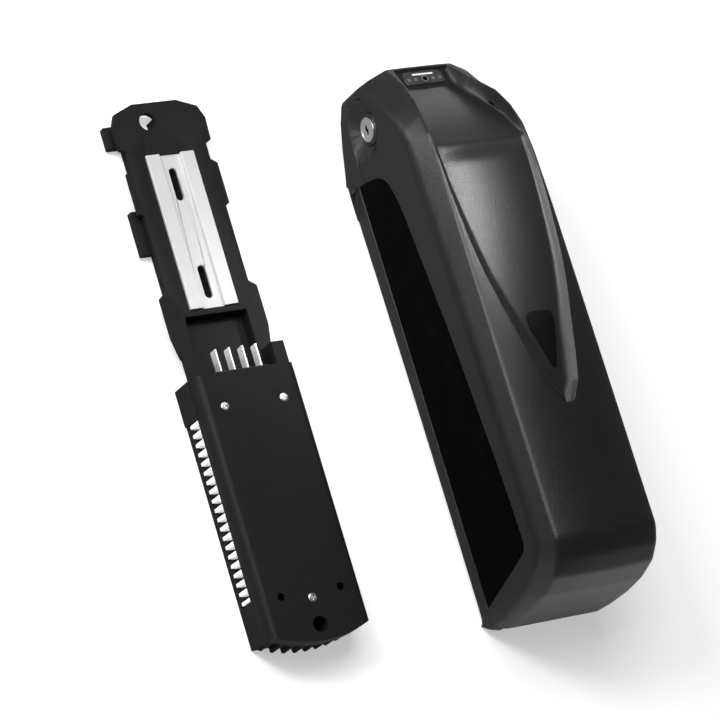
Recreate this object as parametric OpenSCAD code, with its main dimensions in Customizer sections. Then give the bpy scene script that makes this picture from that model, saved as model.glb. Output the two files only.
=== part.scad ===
// Downtube battery of an electric bicycle, lying beside the dock that it slides onto.
// +Y runs from the toe to the lock end, +Z out of the front faces, and both lie on z = 0.

/* [Battery case] */
// Length of the battery case
case_l = 372; // [360:1:390]
// Room between the ends of the cells and the wall on each side
side_room = 9.5; // [9:0.1:12]
// Height of the battery case above its rear edges
case_h = 108; // [107:0.5:112]
// Wall of the two case shells
case_wall = 3; // [2.6:0.1:3.2]
// Skin of the front face under its dished centre
front_skin = 2.5; // [2:0.1:2.8]
// Depth of the dished centre below the crown of the front face
dish_d = 3.5; // [2:0.1:3.8]
// Height of the line where the two shells meet below the side panels
part_z = 13; // [12:0.5:15]
// Depth of the channel that takes the dock
channel_d = 23.5; // [22:0.1:24]
// Width of the skirts on both sides of the channel, over the controller housing
skirt_w = 7.5; // [7:0.1:8]
// Width of the skirts over the upper half of the dock
skirt_top_w = 11; // [10.5:0.1:11.2]
// Wall of the tray that forms the channel
tray_wall = 2.5; // [2:0.1:2.6]
// Thickness of the side panels
panel_t = 1.4; // [1:0.1:1.5]
// Thickness of the bare badge plate
badge_t = 0.9; // [0.6:0.1:1.4]

/* [Cells] */
// Diameter of a cell
cell_d = 18.3; // [18:0.05:18.4]
// Length of a cell
cell_l = 65; // [64:0.5:66]
// Distance between the centres of neighbouring cells
cell_pitch = 18.6; // [18.5:0.05:18.7]
// Rim of the cell holders around the outer cells
holder_rim = 0.4; // [0.3:0.05:0.6]
// Thickness of each cell holder
holder_t = 6.5; // [5:0.5:9]

/* [Lock, button and charging port] */
// Radius of the lock cylinder
lock_r = 8.5; // [7:0.1:9]
// Travel of the lock bolt
bolt_travel = 7; // [5:0.1:7.2]
// Radius of the lock bolt
bolt_r = 4.5; // [3.5:0.1:4.8]
// Travel of the power button
button_travel = 0.8; // [0.5:0.1:0.9]
// Radius of the power button
button_r = 3.4; // [2.6:0.1:3.5]
// Radius of the bore of the charging socket
charge_bore_r = 2.75; // [2.5:0.05:3]
// Length of the rubber cap over the charging port
cap_l = 22; // [20:0.5:24]

/* [Dock] */
// Gap between the controller housing and each skirt of the docked battery
dock_gap = 1.5; // [1.2:0.1:2]
// Gap between the controller cover and the roof of the docked battery's channel
roof_gap = 0.5; // [0.4:0.1:1.2]
// Wall of the dock moulding and its cover
dock_wall = 2.5; // [2.2:0.1:2.8]
// Top of the mounting plate
plate_z = 14; // [13:0.5:15]
// Thickness of the mounting plate
plate_t = 4; // [3:0.1:4.5]
// Margin of the plate beside the mounting rail
rail_rim = 18.7; // [18:0.1:19.5]
// Top of the mounting rail
rail_z = 16; // [15:0.5:18]
// Width of each bolt slot
slot_w = 5.6; // [5.2:0.1:6.6]
// Radius of the hole that takes the lock bolt
keeper_r = 6; // [5.4:0.1:6.5]
// Radius of the hole for the foot bolt
foot_bolt_r = 2.75; // [2.6:0.05:3.2]
// Number of fins on the heat sink
fin_count = 20; // [12:1:22]
// Thickness of a fin
fin_t = 2.2; // [1.6:0.1:3]

/* [Layout] */
// Clear space between the dock and the battery as they lie side by side
lay_gap = 92.6; // [60:0.2:140]
// How far the dock lies up the page from the battery's toe
lay_step = 11.8; // [0:0.5:12]

/* [Hidden] */
$fn = 64;

// Clearances: overrun of a cut, slip between fixed pieces, running fit of a shaft
over = 1;
slip = 0.15;
run_gap = 0.08;

// The case is as wide as its cells, and the dock fits the channel between its skirts
case_w = cell_l + 2 * (side_room + case_wall);
channel_w = case_w - 2 * skirt_w;
channel_top_w = case_w - 2 * skirt_top_w;
housing_w = channel_w - 2 * dock_gap;

// The dock is as long as the battery, which lies lift higher and drop lower on it when docked
dock_l = case_l;
dock_lift = 7;
dock_drop = 11;
cover_z = channel_d + dock_lift - roof_gap;

// Placement of the two assemblies in the shared frame
dock_half = housing_w / 2;
flange_out = 1;
case_half = case_w / 2;
lay_w = housing_w + 2 * flange_out + lay_gap + case_w;
lay_l = max(case_l, dock_l + lay_step);
dock_x = dock_half + flange_out - lay_w / 2;
battery_x = lay_w / 2 - case_half;
battery_y = -lay_l / 2;
dock_y = battery_y + lay_step;

// Battery outline seen from the side, as shares of the case's length and height
toe_side_shares = [[0.0134, 0], [0.0010, 0.05], [0.0040, 0.21], [0.0134, 0.405], [0.0270, 0.546],
    [0.040, 0.662], [0.056, 0.782], [0.076, 0.838]];
toe_mid_shares = [[0.0080, 0], [0, 0.09], [0, 0.25], [0.0032, 0.463], [0.0121, 0.648],
    [0.0309, 0.824], [0.0565, 0.912]];
nose_side_shares = [[0.866, 0], [0.927, 0.083], [0.962, 0.148], [0.982, 0.222], [0.982, 0.54],
    [0.810, 0.812], [0.775, 0.838]];
nose_mid_shares = [[0.885, 0], [0.945, 0.083], [1, 0.24], [1, 0.53], [0.968, 0.638], [0.946, 0.706],
    [0.909, 0.819], [0.874, 0.882], [0.833, 0.922], [0.78, 0.946]];
// Half-widths of the outline as shares of half the case's width
rear_share = 0.96;
mid_share = 0.84;
nose_mid_x_shares = [0.6, 0.6, 0.55, 0.55, 0.582, 0.607, 0.718, 0.771, 0.82, 0.826];
// Crown of the front face, each [half-width, first length, last length, height]
crown_shares = [[0.84, 0.083, 0.70, 0.958], [0.6, 0.092, 0.76, 0.985], [0.3, 0.097, 0.755, 1]];

// Dished centre of the front face, each [half-width, length]
dish_rim_shares = [[0.79, 0.806], [0.785, 0.73], [0.758, 0.672], [0.722, 0.618], [0.6, 0.52],
    [0.478, 0.457], [0.271, 0.352], [0.09, 0.312]];
dish_floor_shares = [[0.70, 0.78], [0.665, 0.72], [0.616, 0.672], [0.56, 0.618], [0.45, 0.54],
    [0.249, 0.457], [0.05, 0.382]];
// The dish runs down over the nose, each [half-width, length, height]
nose_dish_shares = [[0.74, 0.796, 0.95], [0.74, 0.833, 0.86], [0.66, 0.909, 0.68], [0.45, 0.952, 0.585]];

// Shelf of the indicator at the foot of the nose
shelf_back = 11.2;
shelf_y = case_l - shelf_back;
shelf_z = case_h * 0.548;
shelf_tilt = 14;
shelf_l = 17;
shelf_w_share = 0.4556;
shelf_w = case_w * shelf_w_share;
lens_l = 10.5;
lens_w = case_w / 3;
lens_t = 1.6;
lens_corner_r = 3;
window_rim = 1.7;
window_w = lens_w - 2 * window_rim;
window_l = lens_l - 1.5 * window_rim;
strip_board_rim = 2;
strip_board_w = lens_w + 2 * strip_board_rim;
strip_board_l = 12;
strip_board_w0 = -5.2;
strip_board_t = 1.2;
strip_post_x = lens_w / 2;
strip_post_r = 1.6;
led_x_shares = [0.247, 0.36];
led_w = 2.2;
led_h = 3.6;
switch_w = 5.5;
switch_h = 2.4;
button_gap = 0.1;
button_drop = -strip_board_w0 - strip_board_t - switch_h - button_travel - button_gap;
button_proud = 0.5;
button_flange = 0.5;

// Side panel outline: rear edge, foot, front edge and top
panel_rear_z = part_z + 0.6;
panel_foot_y = case_l * 0.0415;
panel_foot_top = [case_l * 0.0963, case_h * 0.72];
panel_top = [case_l * 0.748, case_h * 0.532];
panel_corner_r = 20;
panel_end = [case_l * 0.828, case_h * 0.204];
panel_recess = panel_t + slip;

// Lock: its axis lies along X, and its recess in the left side has this outline
nose_end_share = nose_side_shares[3][0];
lock_back = 27.3;
lock_rise = 15;
lock_y = case_l * nose_end_share - lock_back;
lock_z = channel_d + tray_wall + lock_rise;
bezel_shares = [[1.235, -0.65], [1.18, 0.30], [0.29, 0.94], [-0.47, 0.91], [-1, 0.38],
    [-1, -1.15], [0, -1.08]];
bezel_r = 17;
bezel_t = 6.5;
bezel_flange_r = 22;
bezel_flange_t = 1.5;
bezel_rim_share = 0.93;
bezel_well_r = 11.4;
body_flange_r = 12.5;
body_wall = 2.2;
body_l = 24;
body_depth = 4.5;
lock_face_depth = 1.8;
lock_depth = 30;
body_x = body_depth - case_half;
lock_face_x = lock_face_depth - case_half;
lock_end_x = lock_depth - case_half;
key_w = 2.2;
key_l = 9;
key_d = 4;
cam_r = 8;
cam_t = 2;
cam_pin_r = 1.5;
cam_pin_l = 8;
cam_arm = bolt_travel / sqrt(2);
bolt_side = 5;
bolt_ahead = 10;
bolt_x = lock_end_x + cam_t + bolt_side;
bolt_y = lock_y + bolt_ahead;
bolt_tip_z = 2.5;
bolt_head_t = 8.8;
bolt_head_back = 9.5;
bolt_head_h = 9;
bolt_head_drop = 8;
head_z0 = lock_z - bolt_head_drop;
bolt_slot_gap = 0.4;
guide_wall = 2.4;
guide_foot_z = 10.5;
guide_rise = 4;
guide_top_z = channel_d + tray_wall + guide_rise;

// Charging port in the left skirt
port_y = case_l * 0.8065;
cap_h = 11.6;
port_z = part_z - cap_h / 2 - slip;
cap_t = 1.7;
cap_edge_r = 2;
cap_tab_t = 0.9;
cap_tab_l = 4;
cap_tab_w = 6;
socket_r = 4.5;
socket_l = 6.3;
socket_depth = 5.3;
socket_pin_r = 1;
charge_face_x = -case_half + cap_t + slip;

// Posts of the front shell, one pair near the toe and one behind the cells
post_r = 4;
post_tops = [case_h * 0.84, case_h * 0.955];
post_x_share = 0.62;
post_ys = [case_l * 0.046, case_l * 0.757];

// Cell pack
tray_z = channel_d + tray_wall;
pack_share = 0.655;
cell_r = cell_d / 2;
holder_bore_gap = 0.1;
cell_y = case_l * 0.118;
cell_z = tray_z + holder_rim + cell_r;
cell_columns = floor(case_l * pack_share / cell_pitch);
cell_rows = floor((case_h - dish_d - front_skin - tray_z - 2 * holder_rim) / cell_pitch);
pack_y0 = cell_y - cell_r - holder_rim;
pack_y1 = cell_y + (cell_columns - 1) * cell_pitch + cell_r + holder_rim;
pack_z1 = cell_z + (cell_rows - 1) * cell_pitch + cell_r + holder_rim;
holder_chamfer = 5.5;
strip_t = 0.3;
strip_end = 5;
foam_l_share = 0.16;
foam_l = case_l * foam_l_share;
foam_rise = 12;
foam_z = tray_z + foam_rise;
foam_gap = 4.4;
foam_h = case_h * toe_side_shares[6][1] - foam_z - foam_gap;
foam_shares = [0.24, 0.68];

// Electronics behind the cells
bms_y = post_ys[1] + post_r + over;
bms_t = 1.6;
bms_rim = 12;
bms_w = case_w - 2 * (case_wall + bms_rim);
bms_gap = 14;
bms_h = case_h - dish_d - front_skin - tray_z - bms_gap;
fet_pitch_share = 0.1833;
fet_w_share = 0.15;
fet_w = bms_w * fet_w_share;
fet_h = 10;
fet_t = 4.4;
fet_pitch = bms_w * fet_pitch_share;
fet_count = 5;
fet_rise = 10;
fet_z = tray_z + fet_rise;
fuse_ahead = 12;
fuse_y = bms_y + fuse_ahead;
fuse_x = bms_w / 3;
fuse_l = 18;
fuse_w = 8;
fuse_h = 9;
fuse_blade_t = 5;
fuse_blade_h = 6;

// Discharge socket in the channel
plug_gap = 2;
housing_share = 0.4866;
housing_l = dock_l * housing_share;
plug_y = housing_l + plug_gap - dock_drop;
plug_l = 20;
plug_rim = 16;
plug_w = housing_w - 2 * plug_rim;
plug_h = 15.5;
plug_foot_z = channel_d - plug_h;
blade_count = 4;
blade_pitch_share = 0.2425;
blade_pitch = plug_w * blade_pitch_share;
blade_t = 0.9;
blade_h = 7;
blade_l = 23;
blade_out = 15;
contact_t = 2.6;
contact_h = 8.6;
blade_mid_z = (plug_foot_z + channel_d) / 2;
contact_top_z = blade_mid_z + contact_h / 2;
plug_wall = 2.5;
bus_x = 3.5;
bus_rim = 1;
bus_w = plug_w / 2 - bus_x - bus_rim;
bus_t = 0.3;
bus_y = plug_y + plug_l / 2;
bus_tab_t = 0.8;
lead_r = 1.4;
lead_height_share = 0.6;

// Case screws run from the channel into posts of the front shell
screw_r = 1.5;
screw_l = 14;
screw_head_r = 3;
screw_head_t = 1.4;
lip_h = 2.7;
lip_reach = 3.8;
lip_ys = [case_l * 0.5535, case_l * 0.7875];
lip_ls = [20, 10];
channel_step_y = case_l * 0.645;

// Dock outline: [half-width share of the housing's half, length share of the dock] up the side
plate_shares = [[0.80, housing_share], [0.80, 0.52], [0.90, 0.535], [0.97, 0.573], [0.97, 0.645],
    [0.83, 0.655], [0.83, 0.795], [0.915, 0.80], [0.915, 0.876], [0.80, 0.884], [0.80, 0.914],
    [0.92, 0.92], [0.94, 0.962], [0.84, 0.985], [0.45, 1]];
core_rim = 10;
core_half = dock_half - core_rim;
core_wall = 2.6;
head_hook_share = 0.93;
head_hook_y = dock_l * head_hook_share;
head_hook_l = 15;
hook_z0 = 1.5;
hook_z1 = 6.6;
side_hook_share = 0.731;
side_hook_y = dock_l * side_hook_share;
side_hook_l = 30;
keeper_x = bolt_x;
keeper_y = bolt_y + dock_drop;
rail_y_share = 0.6156;
rail_share = 0.2863;
rail_y = dock_l * rail_y_share;
rail_l = dock_l * rail_share;
slot_pitch_share = 0.635;
slot_share = 0.211;
slot_pitch = rail_l * slot_pitch_share;
slot_l = rail_l * slot_share;
slot_shift = 1.2;
rail_floor_z = 6;
rail_w = housing_w - 2 * rail_rim;
rail_web_share = 0.445;
rail_web_w = rail_w * rail_web_share;
rail_sink = 3.4;
rail_web_z = rail_z - rail_sink;
rail_t = 2;
slot_mid_y = rail_y + rail_l / 2 - slot_shift;
trench_gap = 5;
trench_y0 = housing_l + trench_gap;
trench_y1 = rail_y - trench_gap + over;
trench_rim = 13.5;
trench_half = dock_half - trench_rim;
trench_z = 4;
lug_l = 15;
lug_w = 9;
lug_rim = 12.5;
lug_x = dock_half - lug_rim;
cover_h = 10;
skirt_z = cover_z - cover_h;
fold_r = 5;
arc_sag = 8;
arc_r = (dock_half * dock_half + arc_sag * arc_sag) / (2 * arc_sag);
housing_y = arc_sag;
gasket_t = 1;
gasket_w = 2;
window_y0 = 35;
window_y1_share = 0.422;
window_y1 = dock_l * window_y1_share;
window_z0 = 4;
sink_drop = 14;
sink_base_z = cover_z - sink_drop;
window_z1 = sink_base_z + over;
rib_count = 9;
rib_pitch_share = 0.1056;
rib_pitch = housing_w * rib_pitch_share;
rib_t = 3.4;
rib_z0 = 1.5;
boss_r = 4;
screw_rim = 14.7;
top_screw_x = dock_half - screw_rim;
top_screw_ahead = 1.5;
top_screw_y = window_y1 + top_screw_ahead;
low_screw_y = 28;
plug_hole_y = 32;
plug_hole_r = 2.6;
plug_hole_d = 1.6;
foot_y = 10.6;
foot_well_r = 5.2;
foot_well_z = 12;
foot_boss_r = 7.4;

sink_base_t = 2.5;
sink_y0 = window_y0 + over;
sink_y1 = window_y1 - over;
fin_foot_gap = 0.3;
fin_end_gap = 0.4;
pad_z = sink_base_z + sink_base_t;
pad_t = 1;
board_rim = 15;
board_half = dock_half - board_rim;
board_y0 = sink_y0 + 2 * over;
board_y1 = top_screw_y - boss_r - 2 * over;
board_edge = 8;
mos_w = 14;
mos_pitch = (board_y1 - board_y0 - 2 * board_edge - mos_w) / 2;
mos_l = 11.5;
mos_t = 4.6;
board_t = 1.6;
cap_r = 3;
cap_len = board_half - over;
bulk_r = 7;
bulk_gap = 4.1;
bulk_l = dock_half - dock_wall - foot_boss_r - 2 * over - bulk_gap;
bulk_y = 22;
block_l = 8.5;
terminal_inset = 7;
terminal_y = housing_l - terminal_inset;
block_rim = 0.25;
block_h = 12.5;
block_z1 = blade_mid_z + dock_lift + blade_h / 2 + block_rim;
block_z0 = block_z1 - block_h;
grommet_y = 20.8;
grommet_z = 10;
grommet_r = 5;
grommet_bore_r = 3.5;
grommet_flange = 1.6;
grommet_flange_t = 1.4;

module at_battery() { translate([battery_x, battery_y, 0]) children(); }
module at_dock() { translate([dock_x, dock_y, 0]) children(); }
module both_sides() { for (side = [0, 1]) mirror([side, 0, 0]) children(); }

// A plate of constant thickness whose outline lies in the Y-Z plane, centred on X = 0
module side_prism(outline, width) {
    translate([-width / 2, 0, 0]) rotate([90, 0, 90]) linear_extrude(width) polygon(outline);
}

// A rod along X, its low end at x
module x_rod(x, y, z, r, length) {
    translate([x, y, z]) rotate([0, 90, 0]) cylinder(r = r, h = length);
}

// A box from its low corner to its high corner
module block(low, high) { translate(low) cube(high - low); }

// A lead drawn as straight runs with round elbows
module lead(points, r) {
    for (i = [1:len(points) - 1]) {
        run = points[i] - points[i - 1];
        bend = [0, acos(run[2] / norm(run)), atan2(run[1], run[0])];
        translate(points[i - 1]) rotate(bend) cylinder(r = r, h = norm(run), $fn = 16);
        if (i < len(points) - 1) translate(points[i]) sphere(r = r, $fn = 16);
    }
}

// Outer form of the case, drawn in by inset on every side
function form_point(x_share, y_share, z_share, inset) = [
    x_share * (case_half - inset),
    inset + y_share * (case_l - 2 * inset),
    inset + z_share * (case_h - 2 * inset)];

module case_form(inset) {
    rear = rear_share;
    points = [
        for (side = [-1, 1]) each [
            for (p = toe_side_shares) form_point(side * (p[1] == 0 ? rear : 1), p[0], p[1], inset),
            for (p = nose_side_shares) form_point(side * (p[1] == 0 ? rear : 1), p[0], p[1], inset),
            for (p = toe_mid_shares) form_point(side * mid_share, p[0], p[1], inset),
            for (i = [0:len(nose_mid_shares) - 1])
                form_point(side * nose_mid_x_shares[i], nose_mid_shares[i][0], nose_mid_shares[i][1], inset),
            for (p = crown_shares) form_point(side * p[0], p[1], p[3], inset),
            for (p = crown_shares) form_point(side * p[0], p[2], p[3], inset)
        ]
    ];
    hull() polyhedron(points, [[for (i = [0:len(points) - 1]) i]]);
}

function mirrored(half) = concat(half, [for (i = [len(half) - 1:-1:0]) [-half[i][0], half[i][1]]]);
function on_case(shares) = [for (p = shares) [p[0] * case_half, p[1] * case_l]];

// Dished centre: a sunk tongue on the front face, and its run down the nose
module dish(drop) {
    hull() {
        translate([0, 0, case_h + over - drop]) linear_extrude(over)
            polygon(mirrored(on_case(dish_rim_shares)));
        translate([0, 0, case_h - dish_d - drop]) linear_extrude(over)
            polygon(mirrored(on_case(dish_floor_shares)));
    }
    floor_points = [for (side = [-1, 1]) for (p = nose_dish_shares)
        [side * p[0] * case_half, p[1] * case_l, p[2] * case_h - drop]];
    high_points = [for (p = floor_points) [p[0], p[1], p[2] + case_h / 3]];
    points = concat(floor_points, high_points);
    hull() polyhedron(points, [[for (i = [0:len(points) - 1]) i]]);
}

module at_shelf() { translate([0, shelf_y, shelf_z]) rotate([-shelf_tilt, 0, 0]) children(); }

module shelf_cut(drop, margin) {
    at_shelf() translate([-shelf_w / 2 - margin, -shelf_l / 2 - margin, -drop])
        cube([shelf_w + 2 * margin, shelf_l + 2 * margin, case_h / 4]);
}

// Space inside the case walls, kept below the dish and the shelf
module case_room() {
    difference() {
        case_form(case_wall);
        dish(front_skin + dish_d / 10);
        shelf_cut(front_skin, front_skin);
        translate([-case_half, 0, case_h - dish_d - front_skin]) cube([case_w, case_l, case_h]);
    }
}

// The shells meet along this line on both sides
parting = [[-over, part_z], [panel_end[0], part_z], [panel_end[0], panel_end[1]],
    [lock_y + bezel_shares[5][0] * bezel_r, panel_end[1]],
    [lock_y + bezel_shares[0][0] * bezel_r, lock_z + bezel_shares[0][1] * bezel_r],
    [case_l + over, case_h * 0.36]];
module below_parting() {
    side_prism(concat(parting, [[case_l + over, -over], [-over, -over]]), case_w + 2 * over);
}
module above_parting() {
    side_prism(concat(parting, [[case_l + over, case_h + over], [-over, case_h + over]]),
        case_w + 2 * over);
}

module bezel_plate(first_x, depth, grow) {
    r = bezel_r + grow;
    outline = [for (p = bezel_shares) [lock_y + p[0] * r, lock_z + p[1] * r]];
    translate([first_x + depth / 2, 0, 0]) side_prism(outline, depth);
}

// Everything that the lock needs cut out of the shells
module lock_pocket() {
    bezel_plate(-case_half - over, case_wall + 2 * over, slip);
    x_rod(-case_half + case_wall, lock_y, lock_z, bezel_flange_r + slip, bezel_flange_t + slip);
    x_rod(-case_half, lock_y, lock_z, lock_r + body_wall + slip, bezel_t + body_l);
}

// Rear shell: skirts on both sides of the channel, its tray, the lips and the bolt guide
module tray_blocks() {
    block([-channel_w / 2 - tray_wall, 0, 0],
        [channel_w / 2 + tray_wall, channel_step_y + tray_wall, tray_z]);
    block([-channel_top_w / 2 - tray_wall, channel_step_y, 0],
        [channel_top_w / 2 + tray_wall, case_l, tray_z]);
}

module rear_shell() {
    color([0.09, 0.09, 0.1]) at_battery() difference() {
        union() {
            difference() {
                intersection() {
                    case_form(0);
                    below_parting();
                }
                case_form(case_wall);
            }
            intersection() {
                tray_blocks();
                union() {
                    case_form(case_wall);
                    intersection() {
                        case_form(case_wall / 2);
                        below_parting();
                    }
                }
            }
            translate([bolt_x, bolt_y, guide_foot_z])
                cylinder(r = bolt_r + guide_wall, h = guide_top_z - guide_foot_z);
        }
        difference() {
            union() {
                block([-channel_w / 2, -over, -over], [channel_w / 2, channel_step_y, channel_d]);
                block([-channel_top_w / 2, channel_step_y - over, -over],
                    [channel_top_w / 2, case_l + over, channel_d]);
            }
            both_sides() for (i = [0, 1])
                translate([(i == 0 ? channel_w : channel_top_w) / 2 - lip_reach, lip_ys[i], 0])
                    cube([lip_reach + over, lip_ls[i], lip_h]);
            translate([bolt_x, bolt_y, guide_foot_z])
                cylinder(r = bolt_r + guide_wall, h = guide_top_z - guide_foot_z);
        }
        translate([bolt_x, bolt_y, 0]) cylinder(r = bolt_r + run_gap, h = case_h / 2);
        lock_pocket();
        port_cut();
        bus_tabs(slip);
        both_sides() for (i = [0, 1])
            translate([post_x_share * case_half, post_ys[i], channel_d - over]) {
                cylinder(r = screw_r + slip, h = tray_wall + 2 * over);
                cylinder(r = screw_head_r + slip, h = over + screw_head_t);
            }
    }
}

module port_cut() {
    block([-case_half - over, port_y - cap_l / 2 - slip, port_z - cap_h / 2 - slip],
        [-case_half + cap_t + slip, port_y + cap_l / 2 + slip, port_z + cap_h / 2 + slip]);
    x_rod(-case_half, port_y, port_z, socket_r + slip / 2, cap_t + slip + socket_l);
}

// Front shell: crowned face, dished centre, nose with the indicator shelf, and side walls
module front_shell() {
    color([0.13, 0.13, 0.14]) at_battery() difference() {
        union() {
            intersection() {
                difference() {
                    case_form(0);
                    dish(0);
                    shelf_cut(0, 0);
                    case_room();
                }
                above_parting();
            }
            intersection() {
                case_form(case_wall / 3);
                both_sides() for (i = [0, 1])
                    translate([post_x_share * case_half, post_ys[i], tray_z])
                        cylinder(r = post_r, h = post_tops[i] - tray_z);
            }
        }
        both_sides() for (i = [0, 1]) translate([post_x_share * case_half, post_ys[i], tray_z - over])
            cylinder(r = screw_r + slip / 2, h = screw_l + over);
        both_sides() panel_solid(panel_recess + over, slip, case_half - panel_recess);
        at_shelf() translate([-window_w / 2, -window_l / 2, -case_h / 8])
            cube([window_w, window_l, case_h / 4]);
        lock_pocket();
        block([-channel_w / 2, -over, -over], [channel_w / 2, channel_step_y, channel_d]);
    }
}

// A point part of the way along a curve that leaves a towards b and arrives at c
function bow(a, b, c, t) = (1 - t) * (1 - t) * a + 2 * t * (1 - t) * b + t * t * c;

module panel_solid(depth, grow, first_x) {
    corner = [panel_end[0] - panel_corner_r / 3, panel_top[1] - panel_corner_r / 6];
    outline = [
        [panel_foot_y - grow, panel_rear_z - grow],
        panel_foot_top + [-grow, grow],
        for (t = [0:0.1:1]) bow(panel_top, corner, panel_end, t) + [grow, grow],
        [panel_end[0] + grow, panel_rear_z - grow]];
    translate([first_x + depth / 2, 0, 0]) side_prism(outline, depth);
}

module right_side_panel() {
    color([0.02, 0.02, 0.02]) at_battery() panel_solid(panel_t, 0, case_half - panel_recess);
}

module left_side_panel() {
    color([0.02, 0.02, 0.02]) at_battery() mirror([1, 0, 0])
        panel_solid(panel_t, 0, case_half - panel_recess);
}

// Bare badge plate near the tip of the dish
badge_shares = [[0.035, 0.379], [0.225, 0.465], [0.222, 0.474], [0.19, 0.481], [0.11, 0.484]];
module badge_plate() {
    color([0.03, 0.03, 0.03]) at_battery() translate([0, 0, case_h - dish_d])
        linear_extrude(badge_t) polygon(mirrored(on_case(badge_shares)));
}

module shell_screws() {
    color([0.7, 0.7, 0.72]) at_battery() both_sides() for (i = [0, 1])
        translate([post_x_share * case_half, post_ys[i], channel_d]) {
            cylinder(r = screw_r, h = tray_wall + screw_l - over);
            cylinder(r = screw_head_r, h = screw_head_t);
        }
}

// Cells lie across the case in rows, their ends held by two bored plates
module each_cell() {
    for (row = [0:cell_rows - 1]) for (column = [0:cell_columns - 1])
        translate([0, cell_y + column * cell_pitch, cell_z + row * cell_pitch]) children();
}

module cells() {
    color([0.15, 0.45, 0.62]) at_battery() each_cell() x_rod(-cell_l / 2, 0, 0, cell_r, cell_l);
}

module cell_holder(side) {
    color([0.16, 0.16, 0.17]) at_battery() mirror([side, 0, 0]) difference() {
        translate([cell_l / 2 - holder_t / 2, 0, 0]) side_prism([
            [pack_y0, tray_z], [pack_y0, pack_z1 - holder_chamfer],
            [pack_y0 + holder_chamfer, pack_z1], [pack_y1 - holder_chamfer, pack_z1],
            [pack_y1, pack_z1 - holder_chamfer], [pack_y1, tray_z]], holder_t);
        each_cell()
            x_rod(cell_l / 2 - holder_t - over, 0, 0, cell_r + holder_bore_gap, holder_t + 2 * over);
    }
}
module cell_holder_left() { cell_holder(1); }
module cell_holder_right() { cell_holder(0); }

// Strips join the cells of two columns, staggered from one side to the other
module nickel_strips(side) {
    color([0.78, 0.78, 0.76]) at_battery() mirror([side, 0, 0]) for (first = [-side:2:cell_columns - 1]) {
        low = max(first, 0);
        high = min(first + 1, cell_columns - 1);
        block([cell_l / 2, cell_y + low * cell_pitch - strip_end, cell_z - strip_end],
            [cell_l / 2 + strip_t, cell_y + high * cell_pitch + strip_end,
                cell_z + (cell_rows - 1) * cell_pitch + strip_end]);
    }
}
module nickel_strips_left() { nickel_strips(1); }
module nickel_strips_right() { nickel_strips(0); }

module foam_pads() {
    color([0.25, 0.25, 0.26]) at_battery() both_sides() for (share = foam_shares)
        block([cell_l / 2 + strip_t, share * case_l - foam_l / 2, foam_z],
            [case_half - case_wall - slip, share * case_l + foam_l / 2, foam_z + foam_h]);
}

module bms_board() {
    color([0.06, 0.28, 0.16]) at_battery()
        block([-bms_w / 2, bms_y, tray_z], [bms_w / 2, bms_y + bms_t, tray_z + bms_h]);
}

module bms_transistors() {
    color([0.08, 0.08, 0.08]) at_battery() for (i = [0:fet_count - 1])
        translate([(i - (fet_count - 1) / 2) * fet_pitch - fet_w / 2, bms_y + bms_t, fet_z])
            cube([fet_w, fet_t, fet_h]);
}

module fuse_solid(grow) {
    block([fuse_x - fuse_blade_t / 2 - grow, fuse_y + fuse_l / 6 - grow, tray_z + fuse_h - fuse_blade_h],
        [fuse_x + fuse_blade_t / 2 + grow, fuse_y + fuse_l * 5 / 6 + grow, tray_z + 2 * fuse_h]);
}

module fuse_holder() {
    color([0.1, 0.1, 0.1]) at_battery() difference() {
        block([fuse_x - fuse_w / 2, fuse_y, tray_z],
            [fuse_x + fuse_w / 2, fuse_y + fuse_l, tray_z + fuse_h]);
        fuse_solid(slip);
    }
}

module fuse() {
    color([0.85, 0.45, 0.1]) at_battery() fuse_solid(0);
}

// Female block that hangs in the channel and takes the dock's four blades
module discharge_socket() {
    color([0.07, 0.07, 0.07]) at_battery() difference() {
        block([-plug_w / 2, plug_y, plug_foot_z], [plug_w / 2, plug_y + plug_l, channel_d]);
        each_blade() block([-contact_t / 2, plug_y - over, -contact_h / 2],
            [contact_t / 2, plug_y + plug_l - plug_wall, contact_h / 2]);
        bus_tabs(0);
    }
}

module each_blade() {
    for (i = [0:blade_count - 1])
        translate([(i - (blade_count - 1) / 2) * blade_pitch, 0, blade_mid_z]) children();
}

module discharge_contacts() {
    color([0.85, 0.7, 0.35]) at_battery() each_blade() difference() {
        block([-contact_t / 2, plug_y + over, -contact_h / 2],
            [contact_t / 2, plug_y + plug_l - plug_wall, contact_h / 2]);
        block([-blade_t / 2 - slip, plug_y, -blade_h / 2 - slip],
            [blade_t / 2 + slip, plug_y + blade_out + over, contact_h]);
    }
}

// Flat copper strips lead from the contacts through the tray and under the cells to the board
module bus_tabs(grow) {
    both_sides() block([bus_x - grow, bus_y - grow, contact_top_z],
        [bus_x + bus_w + grow, bus_y + bus_tab_t + grow, tray_z + bus_t]);
}

module discharge_strips() {
    color([0.72, 0.42, 0.25]) at_battery() {
        bus_tabs(0);
        both_sides() block([bus_x, bus_y, tray_z], [bus_x + bus_w, bms_y, tray_z + bus_t]);
    }
}

module charge_socket() {
    color([0.12, 0.12, 0.12]) at_battery() {
        difference() {
            x_rod(charge_face_x, port_y, port_z, socket_r, socket_l);
            x_rod(charge_face_x - over, port_y, port_z, charge_bore_r, socket_depth + over);
        }
        x_rod(charge_face_x + over, port_y, port_z, socket_pin_r, socket_depth);
    }
}

module charge_leads() {
    x = charge_face_x + socket_l / 2;
    end_x = 3 * lead_r - bms_w / 2;
    color([0.6, 0.05, 0.05]) at_battery() for (i = [-1, 1]) {
        y = port_y + i * 2 * lead_r;
        top = tray_z + bms_h * lead_height_share + i * 3 * lead_r;
        lead([[x, y, port_z + socket_r], [x, y, top], [end_x, y, top], [end_x, bms_y + bms_t, top]],
            lead_r);
    }
}

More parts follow.
